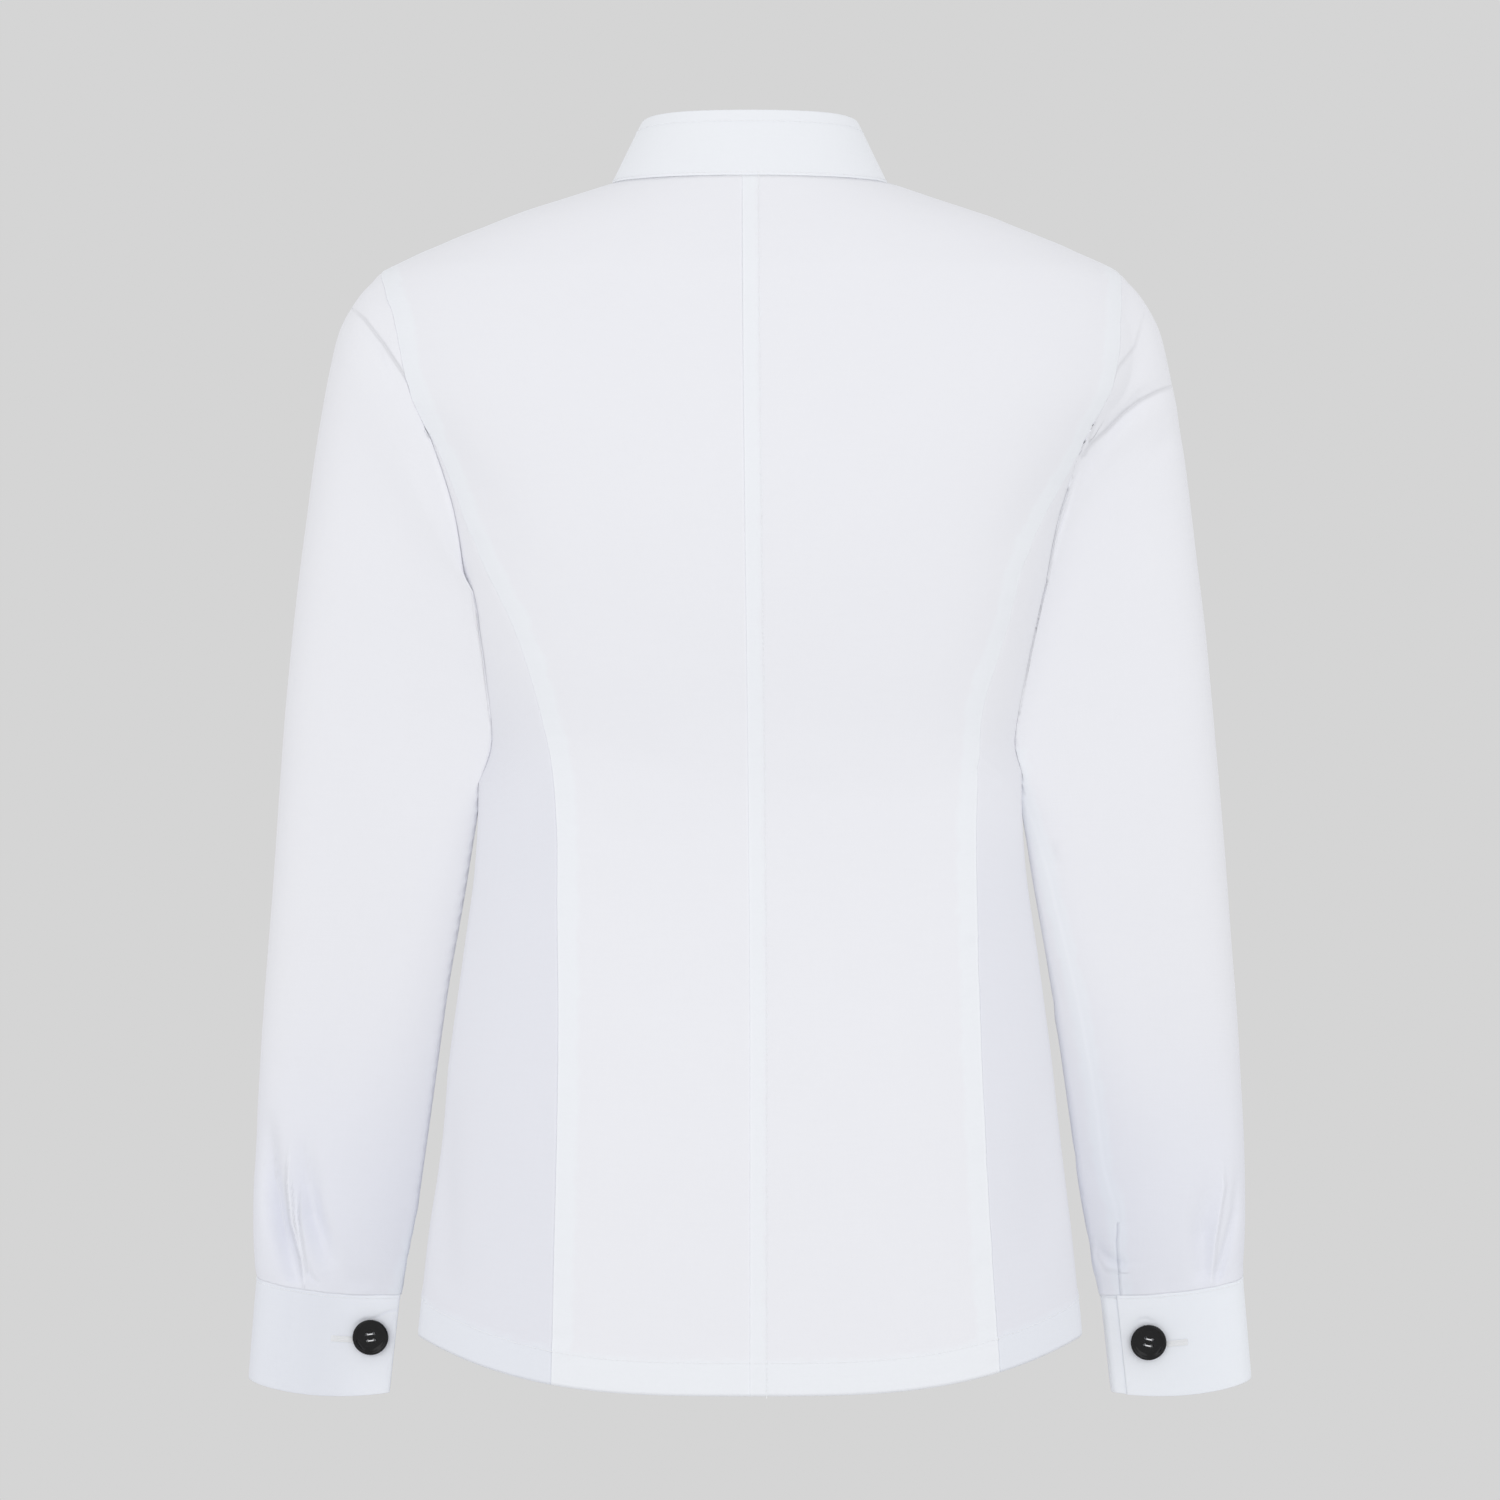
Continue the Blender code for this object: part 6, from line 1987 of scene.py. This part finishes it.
def cuff_button_turn(side):
    return CUFF_EDGE[side] - arc_to_turn(CUFF_BUTTON_FROM_EDGE[side], CUFF_EDGE[side])


def cuff_frame(side, turn):
    """Centre, outward and upward directions of the cuff's outer face at a turn."""
    nudge, down = 0.01, CUFF_BUTTON_DOWN[side]
    centre = cuff_point(side, turn, down)
    along = cuff_point(side, turn + nudge, down) - cuff_point(side, turn - nudge, down)
    up = cuff_point(side, turn, down - nudge * CUFF_HEIGHT) - centre
    return centre, along.cross(up).normalized() * side, up.normalized()


def cuff_buttonhole(side):
    """Two rows of stitches beside a level slit that the button's shank sits at the end of."""
    start = cuff_button_turn(side)
    rows = []
    for aside in (-BUTTONHOLE_HALF_WIDTH, BUTTONHOLE_HALF_WIDTH):
        row = []
        for t in steps(BUTTONHOLE_POINTS):
            at = start - arc_to_turn(BUTTONHOLE_LENGTH * t, start)
            centre, outward, up = cuff_frame(side, at)
            point = centre + up * (aside - CUFF_HOLE_BELOW) + outward * CUFF_HOLE_LIFT
            row.append((point, outward))
        rows.append(row)
    return rows


class BLOUSE_OT_cuffs(bpy.types.Operator):
    """Sew the two cuffs, each lapped over itself, with its buttonhole"""

    bl_idname = "blouse.cuffs"
    bl_label = "Cuffs"

    def execute(self, context):
        for side in SIDES:
            sheet = cuff_sheet(side)
            name = f"cuff_cloth_{SIDE_NAME[side]}"
            channels = [("from_top", EDGE_STITCH)]
            strips, seams = [("from_top", 1.0)], ("from_top",)
            # Painted light on each cuff's inner edge, and a painted tone on its outer side: shade on the
            # left, light on the right
            painted_light = CUFF_PAINTED_LIGHT[side]
            material = cloth_material(name, strips, channels, seams, painted_light, "outer_side", lined=True)
            fields = line_fields(sheet, CUFF_LINES[side])
            fields["outer_side"] = sheet_field(
                sheet, lambda p: eased((abs(p.x) - CUFF_PAINTED_FROM_X) / CUFF_PAINTED_OVER)
            )
            piece = cloth_object(name, sheet, CUFF_CLOTH, material, fields=fields)
            rows = channel_rows(sheet, channels)
            stitches = stitched(f"cuff_stitches_{SIDE_NAME[side]}", rows)
            hole = stitched(f"cuff_buttonhole_{SIDE_NAME[side]}", cuff_buttonhole(side), satin=True)
            sewn(piece, f"cuff_{SIDE_NAME[side]}", [stitches, hole])
        return {"FINISHED"}


# ---- collar ----


def collar_point(angle, up):
    """A point of the collar's outer face on the left, up its height from the neckline."""
    foot = body_point(*neck_spot(angle))
    facing = "back" if math.cos(angle) >= 0 else "front"
    lean = mixed(COLLAR_LEAN[facing], COLLAR_LEAN["side"], math.sin(angle) ** 4)
    rise = math.sqrt(COLLAR_HEIGHT**2 - lean**2)
    inward = Vector((-math.sin(angle), -math.cos(angle), 0))
    return foot + (inward * lean + Vector((0, 0, rise))) * up


def collar_sheet():
    start = COLLAR_OPENING / 2 / NECK_HALF_WIDTH
    shares = graded(0.420, step=0.0022, close_step=0.0014, close_reach=0.014)
    grid = []
    for share in graded(COLLAR_HEIGHT, 0.0020, 0.0012, 0.004):
        row = []
        for t in shares:
            turn = mixed(start - math.pi, math.pi - start, t)
            side, angle = (RIGHT if turn < 0 else LEFT), abs(turn)
            from_end = (math.pi - start - angle) * NECK_HALF_WIDTH
            top = COLLAR_HEIGHT
            if from_end < COLLAR_CORNER:
                short = COLLAR_CORNER - from_end
                top -= COLLAR_CORNER - math.sqrt(max(0.0, COLLAR_CORNER**2 - short**2))
            up = mixed(COLLAR_FOOT, top, share) / COLLAR_HEIGHT
            point = collar_point(angle, up)
            row.append(Vector((side * point.x, point.y, point.z)))
        grid.append(row)
    sheet = Sheet(grid, flipped=True)
    settings = bpy.context.scene.blouse_cloth

    def relief(j, i):
        point = sheet.grid[j][i]
        total = roll(sheet.from_top[j][i]) + roll(sheet.from_bottom[j][i])
        total += roll(sheet.from_left[j][i]) + roll(sheet.from_right[j][i])
        total += 0.5 * settings.uneven * unevenness(point)
        return total + puckers(COLLAR_PUCKERS, upright_ripple(point), sheet.from_bottom[j][i])

    sheet.raised(relief)
    return sheet


class BLOUSE_OT_collar(bpy.types.Operator):
    """Sew the stand collar on the neckline"""

    bl_idname = "blouse.collar"
    bl_label = "Collar"

    def execute(self, context):
        sheet = collar_sheet()
        channels = [("from_top", COLLAR_STITCHES_FROM_TOP), ("from_bottom", EDGE_STITCH)]
        material = cloth_material("collar_cloth", [("from_top", 1.0)], channels, ("from_bottom",))
        piece = cloth_object("collar_cloth", sheet, STIFFENED, material)
        stitches = stitched("collar_stitches", channel_rows(sheet, channels))
        sewn(piece, "collar", [stitches])
        return {"FINISHED"}


# ---- buttons ----


BUTTON_SIDES = 72
BUTTON_FACE = 0.74  # of its thickness is how high the middle of its face lies
BUTTON_PROFILE = (
    # (share of the radius, share of the thickness), from the middle over the rim to the back
    (0.0, BUTTON_FACE), (0.30, BUTTON_FACE), (0.58, 0.745), (0.70, 0.77), (0.77, 0.84),
    (0.82, 0.94), (0.87, 0.99), (0.915, 1.00), (0.955, 0.96), (0.985, 0.87), (1.0, 0.74),
    (0.995, 0.55), (0.97, 0.34), (0.92, 0.16), (0.84, 0.04), (0.72, 0.0), (0.36, 0.0), (0.0, 0.0),
)
BUTTON_SHARP = math.radians(38)
HOLE_MOUTH = 0.0004
THREAD_SIDES = 8
THREAD_RADIUS = 0.00034


def ring(work, sides, place_at):
    """New vertices round a ring, at the places of their angles."""
    return [work.verts.new(place_at(2 * math.pi * k / sides)) for k in range(sides)]


def button_shape():
    """A four-hole button that lies on the plane z = 0 and faces up."""
    r, t = BUTTON_DIAMETER / 2, BUTTON_THICKNESS
    work = bmesh.new()
    rings = []
    for across, up in BUTTON_PROFILE:
        if across == 0.0:
            rings.append([work.verts.new((0, 0, up * t))])
        else:
            reach, z = across * r, up * t
            rings.append(
                ring(work, BUTTON_SIDES, lambda a: (reach * math.cos(a), reach * math.sin(a), z))
            )
    for above, below in zip(rings, rings[1:]):
        for k in range(BUTTON_SIDES):
            n = (k + 1) % BUTTON_SIDES
            if len(above) == 1:
                work.faces.new((above[0], below[k], below[n]))
            elif len(below) == 1:
                work.faces.new((above[k], below[0], above[n]))
            else:
                work.faces.new((above[k], below[k], below[n], above[n]))
    bmesh.ops.recalc_face_normals(work, faces=work.faces)
    return as_object("button_shape", work)


def as_object(name, work):
    mesh = bpy.data.meshes.new(name)
    work.to_mesh(mesh)
    work.free()
    return linked(name, mesh)


def hole_drills():
    """Four drills, each with a wider mouth."""
    work = bmesh.new()
    r, mouth = BUTTON_HOLE / 2, HOLE_MOUTH
    face = BUTTON_FACE * BUTTON_THICKNESS
    for x in (-0.5, 0.5):
        for y in (-0.5, 0.5):
            at = Vector((x, y, 0)) * BUTTON_HOLE_SPACING
            for low, high, r_low, r_high in (
                (-0.002, face - mouth * 0.5, r, r),
                (face - mouth * 0.5, face + mouth, r, r + mouth * 1.5),
            ):
                matrix = Matrix.Translation(at + Vector((0, 0, (low + high) / 2)))
                bmesh.ops.create_cone(
                    work, cap_ends=True, segments=20, radius1=r_low, radius2=r_high,
                    depth=high - low, matrix=matrix,
                )
    return as_object("hole_drills", work)


def thread_shape():
    """Two bars of thread between the holes, sunk into them."""
    work = bmesh.new()
    half, r = BUTTON_HOLE_SPACING / 2, THREAD_RADIUS
    face = BUTTON_FACE * BUTTON_THICKNESS
    rise = ((0.0, -0.0012), (0.0002, -0.0002), (0.0006, 0.0001))
    path = [(-half + x, face + z) for x, z in rise]
    path += [(-x, z) for x, z in reversed(path)]
    for y in (-half, half):
        rings = []
        for x, z in path:
            rings.append(
                ring(work, THREAD_SIDES, lambda a: (x, y + r * math.cos(a), z + r * math.sin(a)))
            )
        for before, after in zip(rings, rings[1:]):
            for k in range(THREAD_SIDES):
                n = (k + 1) % THREAD_SIDES
                work.faces.new((before[k], before[n], after[n], after[k]))
        work.faces.new(rings[0])
        work.faces.new(rings[-1][::-1])
    bmesh.ops.recalc_face_normals(work, faces=work.faces)
    return as_object("thread_shape", work)


def drilled(shape, drills):
    cut = shape.modifiers.new("sewing holes", "BOOLEAN")
    cut.operation = "DIFFERENCE"
    cut.solver = "EXACT"
    cut.use_self = True
    cut.object = drills
    bpy.context.view_layer.update()
    evaluated = shape.evaluated_get(bpy.context.evaluated_depsgraph_get())
    mesh = bpy.data.meshes.new_from_object(evaluated)
    mesh.shade_smooth()
    mesh.set_sharp_from_angle(angle=BUTTON_SHARP)
    shape.modifiers.remove(cut)
    shape.data = mesh
    bpy.data.objects.remove(drills, do_unlink=True)
    return shape


def button_place(centre, outward, upward, turn):
    """(point, turn as angles) of a button whose back lies at centre."""
    across = upward.cross(outward).normalized()
    upright = outward.cross(across).normalized()
    facing = Matrix((across, upright, outward)).transposed().to_4x4() @ Matrix.Rotation(turn, 4, "Z")
    return centre, Vector(facing.to_euler())


def cuff_button_places():
    places = []
    for side in SIDES:
        centre, outward, up = cuff_frame(side, cuff_button_turn(side))
        centre += outward * CUFF_BUTTON_STANDOFF
        places.append(button_place(centre, outward, up, CUFF_BUTTON_TURN[side]))
    return places


def front_button_places():
    places = []
    for number in range(FRONT_BUTTONS):
        z = front_button_z(number)
        reach = BUTTON_DIAMETER / 2
        high, low = body_point(math.pi, z + reach), body_point(math.pi, z - reach)
        up = (high - low).normalized()
        outward = Vector((1, 0, 0)).cross(up)
        if outward.y > 0:
            outward = -outward
        middle, surface = (high + low) / 2, body_point(math.pi, z)
        centre = surface if (surface - middle).dot(outward) > 0 else middle
        places.append(button_place(centre + outward * FRONT_BUTTON_STANDOFF, outward, up, 0.0))
    return places


class BLOUSE_OT_buttons(bpy.types.Operator):
    """Sew on the buttons of the cuffs and the front"""

    bl_idname = "blouse.buttons"
    bl_label = "Buttons"

    def execute(self, context):
        shape = drilled(button_shape(), hole_drills())
        thread = thread_shape()
        groups = (
            ("cuff", cuff_button_places(), [f"cuff_button_{SIDE_NAME[side]}" for side in SIDES]),
            ("front", front_button_places(), [f"front_button_{k + 1}" for k in range(FRONT_BUTTONS)]),
        )
        for name, places, nodes in groups:
            for kind, copied, finish, slot in (
                ("buttons", shape, button_material(), "button"),
                ("button_thread", thread, thread_material(), "cloth"),
            ):
                points = marked_points(f"{name}_{kind}", "facing", [places], joined=False)
                piece = made_by(copies_tree(), points, Shape=copied, Finish=finish)
                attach(piece, "root")
                if copied == shape:
                    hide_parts(*nodes)
        for item in (shape, thread):
            bpy.data.objects.remove(item, do_unlink=True)
        return {"FINISHED"}


# ---- stage ----

CAMERA_DISTANCE = 3.6
CAMERA_Z = -0.297
CAMERA_LENS = 164.57
FLOOR_Z = -1.05
FLOOR_RADIUS = 2.0
LAMP_SIZE = 2.2
LAMP_ASIDE, LAMP_BEHIND, LAMP_Z = 1.7, 3.3, 0.1
LAMP_TARGET = (0, 0, -0.28)


def area_lamp(name, aside, power, colour):
    """A lamp behind the blouse and to one side of it, which looks at its middle."""
    place_at = (aside, LAMP_BEHIND, LAMP_Z)
    data = bpy.data.lights.new(name, "AREA")
    data.shape = "SQUARE"
    data.size = LAMP_SIZE
    data.energy = power
    data.color = colour
    lamp = linked(name, data)
    lamp.location = place_at
    toward_it = Vector(LAMP_TARGET) - Vector(place_at)
    lamp.rotation_euler = toward_it.to_track_quat("-Z", "Y").to_euler()


class BLOUSE_OT_stage(bpy.types.Operator):
    """Set up the floor, the soft studio light and the camera"""

    bl_idname = "blouse.stage"
    bl_label = "Stage"

    def execute(self, context):
        settings = context.scene.blouse_stage
        world = bpy.data.worlds.new("studio")
        context.scene.world = world
        world.use_nodes = True
        tree = world.node_tree
        shader = tree.nodes["Background"]
        rays = node(tree, "ShaderNodeLightPath")
        seen = maths(tree, "MAXIMUM", rays.outputs["Is Camera Ray"], rays.outputs["Is Glossy Ray"])
        seen = maths(tree, "MAXIMUM", seen, rays.outputs["Is Transmission Ray"])
        colour = node(tree, "ShaderNodeMix", data_type="RGBA")
        colour.inputs[6].default_value = (settings.ambient,) * 3 + (1,)
        colour.inputs[7].default_value = (*settings.backdrop, 1)
        tree.links.new(seen, colour.inputs["Factor"])
        tree.links.new(colour.outputs[2], shader.inputs["Color"])

        work = bmesh.new()
        bmesh.ops.create_circle(work, cap_ends=True, segments=96, radius=FLOOR_RADIUS)
        floor = as_object("floor", work)
        floor.data.transform(Matrix.Translation((0, 0, FLOOR_Z)))
        paint, _, paint_shader = new_material("pale floor")
        set_inputs(paint_shader, {"Base Color": (*settings.floor, 1), "Roughness": 0.9})
        floor.data.materials.append(paint)

        area_lamp("key", LAMP_ASIDE, settings.key, (1.0, 1.0, 1.0))
        area_lamp("fill", -LAMP_ASIDE, settings.fill, (0.98, 0.99, 1.0))

        data = bpy.data.cameras.new("camera")
        data.lens = CAMERA_LENS
        data.sensor_width = 36
        camera = linked("camera", data)
        camera.location = (0, CAMERA_DISTANCE, CAMERA_Z)
        camera.rotation_euler = (math.radians(90), 0, math.radians(180))
        context.scene.camera = camera
        context.scene.view_settings.view_transform = "Standard"
        return {"FINISHED"}


class BLOUSE_PT_panel(bpy.types.Panel):
    """Lists the pieces of the blouse"""

    bl_idname = "BLOUSE_PT_panel"
    bl_label = "Waitress blouse"
    bl_space_type = "VIEW_3D"
    bl_region_type = "UI"
    bl_category = "Blouse"

    def draw(self, context):
        for operator in OPERATORS:
            self.layout.operator(operator.bl_idname)
        for name in SETTINGS:
            group = getattr(context.scene, name)
            box = self.layout.box()
            for prop in group.bl_rna.properties:
                if prop.identifier not in {"rna_type", "name"}:
                    box.prop(group, prop.identifier)


OPERATORS = (
    BLOUSE_OT_backs,
    BLOUSE_OT_side_backs,
    BLOUSE_OT_fronts,
    BLOUSE_OT_sleeves,
    BLOUSE_OT_cuffs,
    BLOUSE_OT_collar,
    BLOUSE_OT_buttons,
    BLOUSE_OT_stage,
)
SETTINGS = {
    "blouse_cloth": ClothSettings,
    "blouse_stitches": StitchSettings,
    "blouse_buttons": ButtonSettings,
    "blouse_stage": StageSettings,
}


def register():
    for name, group in SETTINGS.items():
        bpy.utils.register_class(group)
        setattr(bpy.types.Scene, name, PointerProperty(type=group))
    for operator in OPERATORS:
        bpy.utils.register_class(operator)
    bpy.utils.register_class(BLOUSE_PT_panel)


def unregister():
    bpy.utils.unregister_class(BLOUSE_PT_panel)
    for operator in reversed(OPERATORS):
        bpy.utils.unregister_class(operator)
    for name, group in SETTINGS.items():
        delattr(bpy.types.Scene, name)
        bpy.utils.unregister_class(group)


def main():
    register()
    for operator in OPERATORS:
        module, name = operator.bl_idname.split(".")
        getattr(getattr(bpy.ops, module), name)()


if __name__ == "__main__":
    main()
